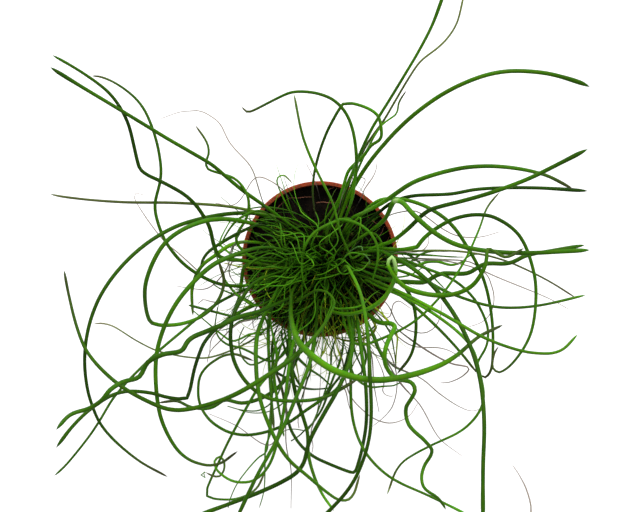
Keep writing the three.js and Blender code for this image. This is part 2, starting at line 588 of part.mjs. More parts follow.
/** Moves stems off each other, a little at a time, until each passes the others freely. */
function easeApart(stems) {
  for (const stem of stems) {
    stem.grown = stem.path.map((point) => point.clone());
    stem.shifts = stem.path.map(() => new THREE.Vector3());
  }
  const widest = Math.max(...stems.map((stem) => stem.footThickness));
  const cellSize = widest * SECTION_FULLNESS + DAYLIGHT;
  for (let pass = 0; pass < EASING_PASSES; pass += 1) {
    const springBack = SPRING_BACK * (1 - pass / EASING_PASSES);
    const pushes = new Map(stems.map((stem) => [stem, []]));
    const push = (sample, shift) => {
      const list = pushes.get(sample.stem);
      list[sample.i] = (list[sample.i] ?? new THREE.Vector3()).add(shift);
    };
    eachNearPair(cellsOf(stems, cellSize), (a, b) => {
      const room = SECTION_FULLNESS * (a.stem.radii[a.i] + b.stem.radii[b.i]) + DAYLIGHT;
      const short = room - a.point.distanceTo(b.point);
      if (short > 0 && !grownTogether(a, b)) {
        const way = wayApart(a, b);
        push(a, way.clone().multiplyScalar(short / 2));
        push(b, way.clone().multiplyScalar(-short / 2));
      }
    });
    for (const stem of stems) {
      spreadPushes(stem, pushes.get(stem), EASING_GAIN);
      relaxShifts(stem, springBack);
      spreadPushes(stem, stem.path.map((point, i) => clearOfPot(point, stem.radii[i])), 1);
      relaxShifts(stem, 0);
    }
  }
}

/** Distance of a point from the chord between two others. */
function offChord(point, from, to) {
  const chord = new THREE.Line3(from, to);
  return chord.closestPointToPoint(point, true, new THREE.Vector3()).distanceTo(point);
}

/** Sample numbers of the rings a stem needs: close together where it bends. */
function ringSamples(path, from, to) {
  let worst = from;
  let distance = RING_TOLERANCE;
  for (let i = from + 1; i < to; i += 1) {
    const off = offChord(path[i], path[from], path[to]);
    if (off > distance) {
      worst = i;
      distance = off;
    }
  }
  if (worst === from && (to - from) * SAMPLE_STEP > LONGEST_RING_STEP) {
    worst = Math.round((from + to) / 2);
  }
  if (worst === from) {
    return [from];
  }
  return [...ringSamples(path, from, worst), ...ringSamples(path, worst, to)];
}

/** A stem's body: a long cone bent along its samples, ending in a short point. */
function stemGeometry(stem) {
  const { path, radii } = stem;
  const last = path.length - 1;
  const neck = last - Math.max(1, Math.round(POINT_LENGTH / SAMPLE_STEP));
  const collar = FIXED_SAMPLES - 1;
  const rings = [0, ...ringSamples(path, collar, neck), neck, last];
  const bends = rings.length - 1;
  const cone = new THREE.CylinderGeometry(0, 1, 1, stem.sides, bends);
  const position = cone.attributes.position;

  const frames = [];
  let side = new THREE.Vector3(1, 0, 0);
  for (const sample of rings) {
    const along = directionAt(path, sample);
    side = side.clone().addScaledVector(along, -side.dot(along)).normalize();
    frames.push({ centre: path[sample], side, up: side.clone().cross(along) });
  }
  for (let v = 0; v < position.count; v += 1) {
    const t = position.getY(v) + 0.5;
    const ring = Math.round(t * bends);
    const { centre, side: across, up } = frames[ring];
    const point = centre.clone();
    if (ring < bends) {
      const scale = (SECTION_FULLNESS * radii[rings[ring]]) / (1 - t);
      point.addScaledVector(across, position.getX(v) * scale);
      point.addScaledVector(up, position.getZ(v) * scale);
    }
    position.setXYZ(v, point.x, point.y, point.z);
  }
  return cone;
}

/** The rhizome knuckle that a tuft springs from. */
function knuckleGeometry(site) {
  const height = HOLE_DEPTH - FIT_GAP + SOIL_MOUND + KNUCKLE_RISE;
  return upright(KNUCKLE_RADIUS, KNUCKLE_TOP_RADIUS, height, KNUCKLE_SIDES)
    .translate(site.x, site.y, SOIL_TOP - HOLE_DEPTH + FIT_GAP);
}

/** Swaps sites between feet as long as that brings them nearer to where their stems lead. */
function settleSites(feet) {
  let swapped = true;
  while (swapped) {
    swapped = false;
    for (const a of feet) {
      for (const b of feet) {
        const now = a.site.distanceToSquared(a.wanted) + b.site.distanceToSquared(b.wanted);
        const then = b.site.distanceToSquared(a.wanted) + a.site.distanceToSquared(b.wanted);
        if (then < now - 1e-6) {
          [a.site, b.site] = [b.site, a.site];
          swapped = true;
        }
      }
    }
  }
}

/** The radius of a hole with few sides that leaves the fit gap all round a foot. */
function holeRadius(footRadius, sides) {
  return (footRadius + FIT_GAP) / Math.cos(Math.PI / sides);
}

/** Where a long stem would stand: towards its route, nearer the edge the lower it starts. */
function wantedSite(stem) {
  const [planX, planY] = stem.plan[0];
  const start = placed(planX, planY, stem.heights[0]);
  const share = THREE.MathUtils.mapLinear(start.z, SOIL_TOP, INNER_START_HEIGHT, 1, INNER_SHARE);
  return new THREE.Vector2(start.x, start.y)
    .sub(CROWN_CENTRE)
    .setLength(CROWN_RADIUS * share)
    .add(CROWN_CENTRE);
}

/** The feet of all stems and tufts: where each stands and how wide its hole is. */
function layOutFeet() {
  const feet = TUFTS.map((tuft) => {
    const heading = THREE.MathUtils.degToRad(tuft.heading);
    const wanted = new THREE.Vector2(Math.cos(heading), Math.sin(heading))
      .multiplyScalar(TUFT_RING_RADIUS)
      .add(CROWN_CENTRE);
    return {
      tuft,
      wanted,
      holeRadius: holeRadius(KNUCKLE_RADIUS, KNUCKLE_SIDES),
      holeSides: KNUCKLE_SIDES,
    };
  });
  for (const stem of [...LONG_STEMS, ...DRY_STEMS]) {
    feet.push({
      stem,
      wanted: wantedSite(stem),
      holeRadius: holeRadius((SECTION_FULLNESS * stem.footThickness) / 2, HOLE_SIDES),
      holeSides: HOLE_SIDES,
    });
  }
  const sites = crownSites(feet.length);
  feet.forEach((foot, i) => {
    foot.site = sites[i];
  });
  settleSites(feet);
  return feet;
}

/** The stems of one tuft, which spring from a small ring on its knuckle. */
function growTuft(tuft, site, random) {
  const young = {
    tuft,
    footThickness: TUFT_STEM_THICKNESS,
    pointThickness: TUFT_POINT_THICKNESS,
    sides: TUFT_STEM_SIDES,
  };
  return Array.from({ length: TUFT_STEMS }, (_, i) => {
    const angle = (i / TUFT_STEMS) * 2 * Math.PI;
    const root = new THREE.Vector2(Math.cos(angle), Math.sin(angle))
      .multiplyScalar(TUFT_ROOT_RADIUS)
      .add(site);
    return sampledStem(root, tuftRoute(site, tuft, random), young);
  });
}

/** All stems as samples with radii, before they are eased apart. */
function growStems(feet) {
  const random = seededRandom(TUFT_SEED);
  const stems = feet.flatMap(({ stem, tuft, site }) => {
    if (tuft) {
      return growTuft(tuft, site, random);
    }
    return sampledStem(site, raisedRoute(stem.plan, stem.heights), { ...stem, sides: STEM_SIDES });
  });
  stems.forEach((stem, order) => {
    stem.order = order;
  });
  return stems;
}

/** A tuft's body: its stems fused on its knuckle. */
function tuftGeometry(tuft, site, stems) {
  let clump = toSolid(knuckleGeometry(site));
  for (const stem of stems.filter((each) => each.tuft === tuft)) {
    clump = clump.add(toSolid(stemGeometry(stem)));
  }
  return toGeometry(clump);
}

/** A named piece with its own material. */
function piece(name, geometry, color, roughness) {
  const material = new THREE.MeshStandardMaterial({ color, roughness, metalness: 0 });
  const mesh = new THREE.Mesh(geometry, material);
  mesh.name = name;
  return mesh;
}

const plant = new THREE.Group();
const feet = layOutFeet();
const stems = growStems(feet);
easeApart(stems);

plant.add(piece('pot', buildPot(), TERRACOTTA, 0.55));
plant.add(piece('potting_mix', buildSoil(feet), PEAT, 0.95));
for (const stem of stems.filter(({ tuft }) => !tuft)) {
  plant.add(piece(stem.name, stemGeometry(stem), stem.colour, 0.5));
}
for (const { tuft, site } of feet.filter((foot) => foot.tuft)) {
  plant.add(piece(tuft.name, tuftGeometry(tuft, site, stems), DARK, 0.5));
}

export default plant;
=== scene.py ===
import json
import logging
import math
import random
from dataclasses import dataclass, field
from enum import Enum
from typing import ClassVar, Sequence

import bmesh
import bpy
from mathutils import Matrix, Quaternion, Vector, noise


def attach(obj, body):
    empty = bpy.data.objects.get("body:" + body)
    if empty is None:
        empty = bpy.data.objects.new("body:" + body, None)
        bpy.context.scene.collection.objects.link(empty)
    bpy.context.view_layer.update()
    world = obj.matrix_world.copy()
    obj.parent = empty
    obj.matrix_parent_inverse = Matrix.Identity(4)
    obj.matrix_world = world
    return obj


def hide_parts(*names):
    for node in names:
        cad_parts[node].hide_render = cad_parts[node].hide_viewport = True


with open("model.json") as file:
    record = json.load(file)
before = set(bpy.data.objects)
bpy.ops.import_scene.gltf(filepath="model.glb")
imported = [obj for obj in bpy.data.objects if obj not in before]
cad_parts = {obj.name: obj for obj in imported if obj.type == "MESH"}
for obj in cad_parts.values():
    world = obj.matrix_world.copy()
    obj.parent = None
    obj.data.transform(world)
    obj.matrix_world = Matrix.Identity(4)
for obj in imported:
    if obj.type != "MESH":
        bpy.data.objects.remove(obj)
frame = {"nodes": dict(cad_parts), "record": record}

log = logging.getLogger("corkscrew_rush")

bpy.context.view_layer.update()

MM = 0.001
RIM_RADIUS = 60 * MM
POT_HEIGHT = 108 * MM
SOIL_TOP = 99 * MM
CROWN_CENTRE = Vector((3 * MM, -5 * MM))

# Routes are drawn on a plan whose steps divide the rim's radius into 78, as they look from a
# point high over the pot. A raised point lies nearer the axis than its plan point.
PLAN_STEPS_PER_RIM = 78
EYE_HEIGHT = 1.6

# Heights over the floor that many extra stems share, in millimetres at even steps along them.
OVER_RIM = (97, 132, 132, 124, 118)
MIDDLE = (97, 146, 146, 132, 118)
HANGING = (97, 138, 122, 100, 75)

# Light fades over this depth from the crown's top to the peat, down to this share and by this
# power. It comes back between these shares of the rim's radius.
CROWN_DEPTH = 31 * MM
DEEPEST_SHADE = 0.16
SHADE_FALL = 1.35
RIM_LIGHT = (0.85, 1.05)

# Stems are slim in the crown and fill out between these shares of the rim's radius, farther out
# in the fringe. A run that is hidden in the crown has this share of the stem's thickness.
FILLING_OUT = (0.6, 1.1)
FRINGE_FILLING_OUT = (0.9, 1.28)
HIDDEN_RUN = 0.4

# Corners of a turned shape that are closer than this are joined, knots of a route count as at
# least this far apart, and a shorter step along a centreline has no direction of its own.
WELD = 0.005 * MM
KNOT_GAP = 1e-6
STANDSTILL = 1e-9

# Corners in each ring of the frame's long stems and of the stems in its tufts.
STEM_CORNERS = 4
TUFT_CORNERS = 3

Span = tuple[float, float]
PlanPoint = tuple[float, float]
Triple = tuple[float, float, float]
Colour = Triple
Socket = bpy.types.NodeSocket


def under_eye(x: float, y: float, height: float) -> Vector:
    """Finds the point that covers a plan point when seen from the eye point.

    Args:
        x: Plan steps to the right of the pot's axis.
        y: Plan steps up from the pot's axis.
        height: Height over the floor in metres.

    Returns:
        The point in metres.
    """
    step = RIM_RADIUS / PLAN_STEPS_PER_RIM
    scale = step * (EYE_HEIGHT - height) / (EYE_HEIGHT - POT_HEIGHT)
    return Vector((x * scale, y * scale, height))


def plan_steps(point: Vector) -> Vector:
    """Returns the plan point that covers a point when seen from the eye point."""
    step = RIM_RADIUS / PLAN_STEPS_PER_RIM
    scale = step * (EYE_HEIGHT - point.z) / (EYE_HEIGHT - POT_HEIGHT)
    return Vector((point.x / scale, point.y / scale))


def smooth_route(knots: Sequence[Vector], spacing: float) -> list[Vector]:
    """Draws one smooth curve through all the knots (a centripetal Catmull-Rom spline).

    Args:
        knots: Vectors of three parts, or of four where the last is the radius there.
        spacing: Rough distance between the returned points in metres.

    Returns:
        Points along the curve, with as many parts as the knots have.
    """
    before = knots[0] * 2 - knots[1]
    after = knots[-1] * 2 - knots[-2]
    padded = [before, *knots, after]
    points = []
    for a, b, c, d in zip(padded, padded[1:], padded[2:], padded[3:]):
        ta = 0.0
        tb = ta + math.sqrt(max((b - a).length, KNOT_GAP))
        tc = tb + math.sqrt(max((c - b).length, KNOT_GAP))
        td = tc + math.sqrt(max((d - c).length, KNOT_GAP))
        count = max(1, round((c - b).length / spacing))
        for k in range(count):
            t = tb + (tc - tb) * k / count
            ab = a.lerp(b, (t - ta) / (tb - ta))
            bc = b.lerp(c, (t - tb) / (tc - tb))
            cd = c.lerp(d, (t - tc) / (td - tc))
            abc = ab.lerp(bc, (t - ta) / (tc - ta))
            bcd = bc.lerp(cd, (t - tb) / (td - tb))
            points.append(abc.lerp(bcd, (t - tb) / (tc - tb)))
    points.append(knots[-1].copy())
    return points


def clamped(value: float) -> float:
    """Returns the value, held between 0 and 1."""
    return min(1.0, max(0.0, value))


def eased(share: float) -> float:
    """Returns a share, 0 to 1, made to leave 0 and reach 1 gently."""
    return share * share * (3 - 2 * share)


def between(values: Sequence[float], share: float) -> float:
    """Reads evenly spaced values at a share of the way along, easing from one to the next.

    Args:
        values: The values from start to end.
        share: Place between them, 0 to 1.

    Returns:
        The value there.
    """
    if len(values) == 1:
        return values[0]
    place = share * (len(values) - 1)
    low = min(int(place), len(values) - 2)
    return values[low] + (values[low + 1] - values[low]) * eased(place - low)


def beyond_rim(point: Vector, ends: Span = RIM_LIGHT) -> float:
    """Returns 0 for a point well inside the pot's rim and 1 for one outside it.

    Args:
        point: The point.
        ends: Shares of the rim's radius where the value leaves 0 and where it comes to 1.

    Returns:
        The value.
    """
    away = math.hypot(point.x, point.y) / RIM_RADIUS
    return clamped((away - ends[0]) / (ends[1] - ends[0]))


def shade_at(point: Vector) -> float:
    """Returns the share of light that a point gets: little deep down in the crown."""
    rise = min(1.0, max(0.0, point.z - SOIL_TOP) / CROWN_DEPTH)
    light = DEEPEST_SHADE + (1 - DEEPEST_SHADE) * rise ** SHADE_FALL
    return max(light, beyond_rim(point))


def nodes_named(start: str) -> list[str]:
    """Returns the names of the frame's nodes that start so, in order."""
    return sorted(node for node in frame["nodes"] if node.startswith(start))


# ---------------------------------------------------------------- finishes


@dataclass(frozen=True)
class Speckle:
    """A noise pattern: repeats per metre, octaves, and the scale of each axis."""

    scale: float
    detail: float
    stretch: Triple = (1, 1, 1)


@dataclass(frozen=True)
class Remap:
    """A change of range, which takes start to low and end to high."""

    low: float
    high: float
    start: float = 0.0
    end: float = 1.0


@dataclass(frozen=True)
class Relief:
    """How a bump shows: its real depth in metres and the share of it that is seen."""

    depth: float
    strength: float


class NodeMix:
    """A node material while it is being mixed."""

    # Where a new stop of a colour ramp stands until it is moved to its place.
    FREE_PLACE = 0.5

    def __init__(self, name: str) -> None:
        """Starts an empty material that ends in a principled shader."""
        self.material = bpy.data.materials.new(name)
        self.material.use_nodes = True
        self.tree = self.material.node_tree
        self.tree.nodes.clear()
        self.shader = self.add("ShaderNodeBsdfPrincipled")
        output = self.add("ShaderNodeOutputMaterial")
        self.join(self.shader.outputs["BSDF"], output.inputs["Surface"])

    def add(self, kind: str, **settings: object) -> bpy.types.Node:
        """Adds a node.

        Args:
            kind: Blender's name for the node type.
            settings: Properties to set on the node.

        Returns:
            The new node.
        """
        node = self.tree.nodes.new(kind)
        for key, value in settings.items():
            setattr(node, key, value)
        return node

    def join(self, source: Socket, target: Socket) -> None:
        """Links an output to an input."""
        self.tree.links.new(source, target)

    def speckle(self, pattern: Speckle) -> Socket:
        """Adds a noise pattern in the object's own space.

        Args:
            pattern: The pattern.

        Returns:
            The noise value, about 0 to 1.
        """
        place = self.add("ShaderNodeTexCoord")
        mapping = self.add("ShaderNodeMapping")
        mapping.inputs["Scale"].default_value = pattern.stretch
        texture = self.add("ShaderNodeTexNoise")
        texture.inputs["Scale"].default_value = pattern.scale
        texture.inputs["Detail"].default_value = pattern.detail
        self.join(place.outputs["Object"], mapping.inputs["Vector"])
        self.join(mapping.outputs["Vector"], texture.inputs["Vector"])
        return texture.outputs["Fac"]

    def attribute(self, name: str) -> Socket:
        """Returns the value of one of the mesh's own attributes."""
        return self.add("ShaderNodeAttribute", attribute_name=name).outputs["Fac"]

    def spread(self, value: Socket, change: Remap) -> Socket:
        """Takes a value to another range.

        Args:
            value: The socket to read.
            change: The old and the new range.

        Returns:
            The value in its new range.
        """
        node = self.add("ShaderNodeMapRange")
        node.inputs["From Min"].default_value = change.start
        node.inputs["From Max"].default_value = change.end
        node.inputs["To Min"].default_value = change.low
        node.inputs["To Max"].default_value = change.high
        self.join(value, node.inputs["Value"])
        return node.outputs["Result"]

    def multiply(self, a: Socket, b: Socket) -> Socket:
        """Multiplies two values."""
        node = self.add("ShaderNodeMath", operation="MULTIPLY")
        self.join(a, node.inputs[0])
        self.join(b, node.inputs[1])
        return node.outputs["Value"]

    def blend(self, share: Socket, a: Socket | Colour, b: Socket | Colour) -> Socket:
        """Blends two colours.

        Args:
            share: Share of the second colour, 0 to 1.
            a: First colour or socket.
            b: Second colour or socket.

        Returns:
            The blended colour.
        """
        node = self.add("ShaderNodeMix", data_type="RGBA")
        self.join(share, node.inputs["Factor"])
        for socket, value in ((node.inputs["A"], a), (node.inputs["B"], b)):
            pick = [s for s in node.inputs if s.name == socket.name and s.type == "RGBA"][0]
            if isinstance(value, tuple):
                pick.default_value = (*value, 1.0)
            else:
                self.join(value, pick)
        return [s for s in node.outputs if s.type == "RGBA"][0]

    def ramp(self, value: Socket, stops: Sequence[tuple[float, Colour]]) -> Socket:
        """Turns a value into a colour.

        Args:
            value: The socket to read.
            stops: Pairs of position and colour, in rising order.

        Returns:
            The colour.
        """
        node = self.add("ShaderNodeValToRGB")
        band = node.color_ramp
        while len(band.elements) < len(stops):
            band.elements.new(self.FREE_PLACE)
        for element, (place, colour) in zip(band.elements, stops):
            element.position = place
            element.color = (*colour, 1.0)
        self.join(value, node.inputs["Fac"])
        return node.outputs["Color"]

    def emboss(self, height: Socket, relief: Relief) -> None:
        """Gives the shader a bump.

        Args:
            height: Height pattern, 0 to 1.
            relief: How the bump shows.
        """
        bump = self.add("ShaderNodeBump")
        bump.inputs["Distance"].default_value = relief.depth
        bump.inputs["Strength"].default_value = relief.strength
        self.join(height, bump.inputs["Height"])
        self.join(bump.outputs["Normal"], self.shader.inputs["Normal"])

    def shade(self, colour: Socket, roughness: Socket, specular: float) -> bpy.types.Material:
        """Joins colour and roughness to the shader.

        Args:
            colour: Base colour.
            roughness: Roughness.
            specular: Strength of the gloss, 0.5 being common plastic.

        Returns:
            The finished material.
        """
        self.join(colour, self.shader.inputs["Base Color"])
        self.join(roughness, self.shader.inputs["Roughness"])
        self.shader.inputs["Specular IOR Level"].default_value = specular
        return self.material


@dataclass(frozen=True)
class StemFinish:
    """Skin of a rush stem: its colour from the foot to the tip, with fine ribs along it.

    The colours' places are shares of the way along. Where a strand's tone is far above 1 it
    turns pale, partly as bleaching and partly as a painted highlight.
    """

    name: str
    foot: Colour
    low: Colour
    high: Colour
    tip: Colour
    patchiness: float = 0.3
    gloss: float = 0.03
    foot_end: float = 0.07
    low_at: float = 0.2
    high_part: Span = (0.65, 0.86)
    patches: Speckle = Speckle(28, 4)
    flecks: Speckle = Speckle(420, 2)
    patch_range: Span = (0.3, 0.7)
    hues: Remap = Remap(0.485, 0.515, 0.3, 0.7)
    roughness: Remap = Remap(0.36, 0.56)
    # Pale colour that high tones turn to: a bleached stem, and a painted highlight.
    bleach_and_highlight: Colour = (0.20, 0.29, 0.11)
    bleach_and_highlight_by_tone: Remap = Remap(0.0, 0.8, 2.3, 3.2)
    ribs: int = 14
    rib_wobble: float = 0.6
    rib_relief: Relief = Relief(0.12 * MM, 0.35)

    def material(self) -> bpy.types.Material:
        """Mixes the skin's material."""
        mix = NodeMix(self.name)
        along = mix.attribute("along")
        tone = mix.attribute("tone")
        colour = mix.ramp(along, (
            (0.0, self.foot), (self.foot_end, self.foot), (self.low_at, self.low),
            (self.high_part[0], self.high), (self.high_part[1], self.high), (1.0, self.tip),
        ))
        patches = mix.speckle(self.patches)
        fleck = mix.speckle(self.flecks)
        mottling = Remap(1 - self.patchiness, 1 + self.patchiness, *self.patch_range)
        brightness = mix.multiply(mix.spread(patches, mottling), tone)
        shift = mix.add("ShaderNodeHueSaturation")
        mix.join(brightness, shift.inputs["Value"])
        mix.join(mix.spread(fleck, self.hues), shift.inputs["Hue"])
        mix.join(colour, shift.inputs["Color"])
        pale = mix.spread(tone, self.bleach_and_highlight_by_tone)
        bleached_and_highlit = mix.blend(pale, shift.outputs["Color"], self.bleach_and_highlight)
        grain = mix.add("ShaderNodeUVMap", uv_map="grain")
        ribbing = mix.add("ShaderNodeTexWave", bands_direction="X")
        ribbing.inputs["Scale"].default_value = self.ribs / math.tau
        ribbing.inputs["Distortion"].default_value = self.rib_wobble
        mix.join(grain.outputs["UV"], ribbing.inputs["Vector"])
        mix.emboss(ribbing.outputs["Fac"], self.rib_relief)
        return mix.shade(bleached_and_highlit, mix.spread(fleck, self.roughness), self.gloss)


@dataclass(frozen=True)
class PotFinish:
    """Terracotta-coloured plastic, slightly mottled and scuffed, with peat dust and painted shade.
    """

    name: str = "terracotta_plastic"
    body: Colour = (0.185, 0.022, 0.005)
    worn: Colour = (0.24, 0.040, 0.012)
    # Dark colour that is partly peat dust and partly painted shade on the inner rim.
    dust_and_shade: Colour = (0.032, 0.014, 0.007)
    clouds: Speckle = Speckle(22, 4)
    clouding: Remap = Remap(0, 0.7, 0.35, 0.7)
    scuffs: Speckle = Speckle(260, 5, (1, 1, 0.25))
    scuffing: Remap = Remap(0, 0.45, 0.58, 0.75)
    scuff_relief: Relief = Relief(0.1 * MM, 0.3)
    grit: Speckle = Speckle(700, 3)
    dust_and_shade_speckle: Remap = Remap(0.35, 1, 0.44, 0.62)
    dust_and_shade_by_radius: Remap = Remap(0.85, 0.12, 58.7 * MM, 59.6 * MM)
    roughness: Remap = Remap(0.5, 0.7)
    gloss: float = 0.05

    def material(self) -> bpy.types.Material:
        """Mixes the plastic's material, with most of the dust and painted shade inside the rim."""
        mix = NodeMix(self.name)
        cloud = mix.speckle(self.clouds)
        scuff = mix.speckle(self.scuffs)
        grit = mix.speckle(self.grit)
        colour = mix.blend(mix.spread(cloud, self.clouding), self.body, self.worn)
        colour = mix.blend(mix.spread(scuff, self.scuffing), colour, self.worn)
        # Dark specks of peat dust and painted shade: thick nearer the axis than the rim's edge,
        # thin on it.
        place = mix.add("ShaderNodeTexCoord")
        flat = mix.add("ShaderNodeVectorMath", operation="MULTIPLY")
        flat.inputs[1].default_value = (1.0, 1.0, 0.0)
        away = mix.add("ShaderNodeVectorMath", operation="LENGTH")
        mix.join(place.outputs["Object"], flat.inputs[0])
        mix.join(flat.outputs["Vector"], away.inputs[0])
        inside = mix.spread(away.outputs["Value"], self.dust_and_shade_by_radius)
        dust_and_shade_mask = mix.multiply(mix.spread(grit, self.dust_and_shade_speckle), inside)
        colour = mix.blend(dust_and_shade_mask, colour, self.dust_and_shade)
        mix.emboss(scuff, self.scuff_relief)
        return mix.shade(colour, mix.spread(grit, self.roughness), self.gloss)


@dataclass(frozen=True)
class PeatFinish:
    """Moist peat: near black, with brown and a little ochre in its grains."""

    name: str
    dark: Colour = (0.0014, 0.0011, 0.0008)
    brown: Colour = (0.0048, 0.0031, 0.0019)
    ochre: Colour = (0.036, 0.018, 0.0085)
    clods: Speckle = Speckle(120, 5)
    browning: Remap = Remap(0, 1, 0.42, 0.72)
    grains: Speckle = Speckle(900, 4)
    ochre_grains: Remap = Remap(0, 0.7, 0.64, 0.76)
    grain_relief: Relief = Relief(0.8 * MM, 0.7)
    roughness: Remap = Remap(0.75, 0.98)
    gloss: float = 0.02

    def material(self) -> bpy.types.Material:
        """Mixes the peat's material."""
        mix = NodeMix(self.name)
        clods = mix.speckle(self.clods)
        grains = mix.speckle(self.grains)
        colour = mix.blend(mix.spread(clods, self.browning), self.dark, self.brown)
        colour = mix.blend(mix.spread(grains, self.ochre_grains), colour, self.ochre)
        mix.emboss(grains, self.grain_relief)
        return mix.shade(colour, mix.spread(grains, self.roughness), self.gloss)


@dataclass(frozen=True)
class PaleFloor:
    """Plain near-white floor, lit from below like a light table, with the faintest mottling."""

    name: str = "pale_floor"
    glow: float = 0.68
    darker: Colour = (0.29, 0.29, 0.29)
    lighter: Colour = (0.31, 0.31, 0.31)
    clouds: Speckle = Speckle(6, 3)
    roughness: Remap = Remap(0.85, 0.95)
    gloss: float = 0.1

    def material(self) -> bpy.types.Material:
        """Mixes the floor's material."""
        mix = NodeMix(self.name)
        cloud = mix.speckle(self.clouds)
        colour = mix.blend(cloud, self.darker, self.lighter)
        mix.shader.inputs["Emission Color"].default_value = (1.0, 1.0, 1.0, 1.0)
        mix.shader.inputs["Emission Strength"].default_value = self.glow
        return mix.shade(colour, mix.spread(cloud, self.roughness), self.gloss)


class Look(Enum):
    """The finishes a stem can have."""

    GREEN = StemFinish("stem_green_skin", (0.020, 0.060, 0.0014), (0.019, 0.072, 0.0012),
                       (0.0265, 0.093, 0.0018), (0.036, 0.034, 0.012))
    LIME = StemFinish("stem_lime_skin", (0.03, 0.085, 0.002), (0.026, 0.092, 0.0009),
                      (0.034, 0.114, 0.0012), (0.05, 0.075, 0.016))
    DARK = StemFinish("stem_dark_skin", (0.012, 0.030, 0.002), (0.0105, 0.041, 0.0010),
                      (0.0175, 0.059, 0.0018), (0.03, 0.028, 0.012))
    # Young growth in the crown, with painted shade in its colours: dark, near black at the foot.
    YOUNG_SHADED = StemFinish("stem_young_shaded_skin", (0.004, 0.014, 0.0006), (0.009, 0.040, 0.0009),
                       (0.022, 0.083, 0.0016), (0.032, 0.085, 0.004), patchiness=0.45)
    PALE = StemFinish("stem_pale_skin", (0.02, 0.05, 0.01), (0.03, 0.085, 0.016),
                      (0.065, 0.15, 0.04), (0.10, 0.17, 0.06))
    OLIVE = StemFinish("stem_olive_skin", (0.018, 0.030, 0.003), (0.075, 0.118, 0.003),
                       (0.135, 0.180, 0.006), (0.16, 0.15, 0.020), patchiness=0.45)
    STRAW = StemFinish("stem_dry_skin", (0.018, 0.036, 0.005), (0.028, 0.052, 0.005),
                       (0.036, 0.046, 0.012), (0.05, 0.044, 0.026))
    # Dry grey wisps, whose dark foot and low colours are painted shade where they cross the crown.
    WISP = StemFinish("wisp_skin", (0.003, 0.010, 0.001), (0.010, 0.024, 0.003),
                      (0.095, 0.078, 0.066), (0.13, 0.108, 0.100))
    ROOT = StemFinish("root_skin", (0.13, 0.05, 0.03), (0.17, 0.066, 0.04),
                      (0.145, 0.057, 0.036), (0.10, 0.042, 0.024), gloss=0.06)
    SHEATH = StemFinish("sheath_skin", (0.012, 0.008, 0.003), (0.020, 0.014, 0.005),
                        (0.030, 0.030, 0.006), (0.035, 0.045, 0.008))


class Wardrobe:
    """Keeps one material for every finish."""

    def __init__(self) -> None:
        """Starts with nothing mixed."""
        self.made: dict[str, bpy.types.Material] = {}

    def of(self, finish: StemFinish | PotFinish | PeatFinish | PaleFloor) -> bpy.types.Material:
        """Returns the finish's material, mixed on first use."""
        if finish.name not in self.made:
            self.made[finish.name] = finish.material()
        return self.made[finish.name]


# ---------------------------------------------------------------- making meshes


def as_piece(bm: bmesh.types.BMesh, name: str, material: bpy.types.Material) -> bpy.types.Object:
    """Turns a bmesh into a finished object with smooth faces.

    Args:
        bm: The shape, which is freed.
        name: Name of the object.
        material: Its material.

    Returns:
        The object, linked to the scene.
    """
    for face in bm.faces:
        face.smooth = True
    mesh = bpy.data.meshes.new(name)
    bm.to_mesh(mesh)
    bm.free()
    mesh.materials.append(material)
    piece = bpy.data.objects.new(name, mesh)
    bpy.context.scene.collection.objects.link(piece)
    return piece


def ring_places(line: Sequence[Vector]) -> list[Matrix]:
    """Stands a frame across the line at every point, turning as little as it can.

    Args:
        line: Points of a centreline.

    Returns:
        One matrix per point, whose Z axis runs along the line.
    """
    places = []
    facing = Quaternion()
    heading = Vector((0, 0, 1))
    for k, point in enumerate(line):
        ahead = line[min(k + 1, len(line) - 1)] - line[max(k - 1, 0)]
        ahead = ahead.normalized() if ahead.length > STANDSTILL else heading
        facing = heading.rotation_difference(ahead) @ facing
        heading = ahead
        places.append(Matrix.Translation(point) @ facing.to_matrix().to_4x4())
    return places


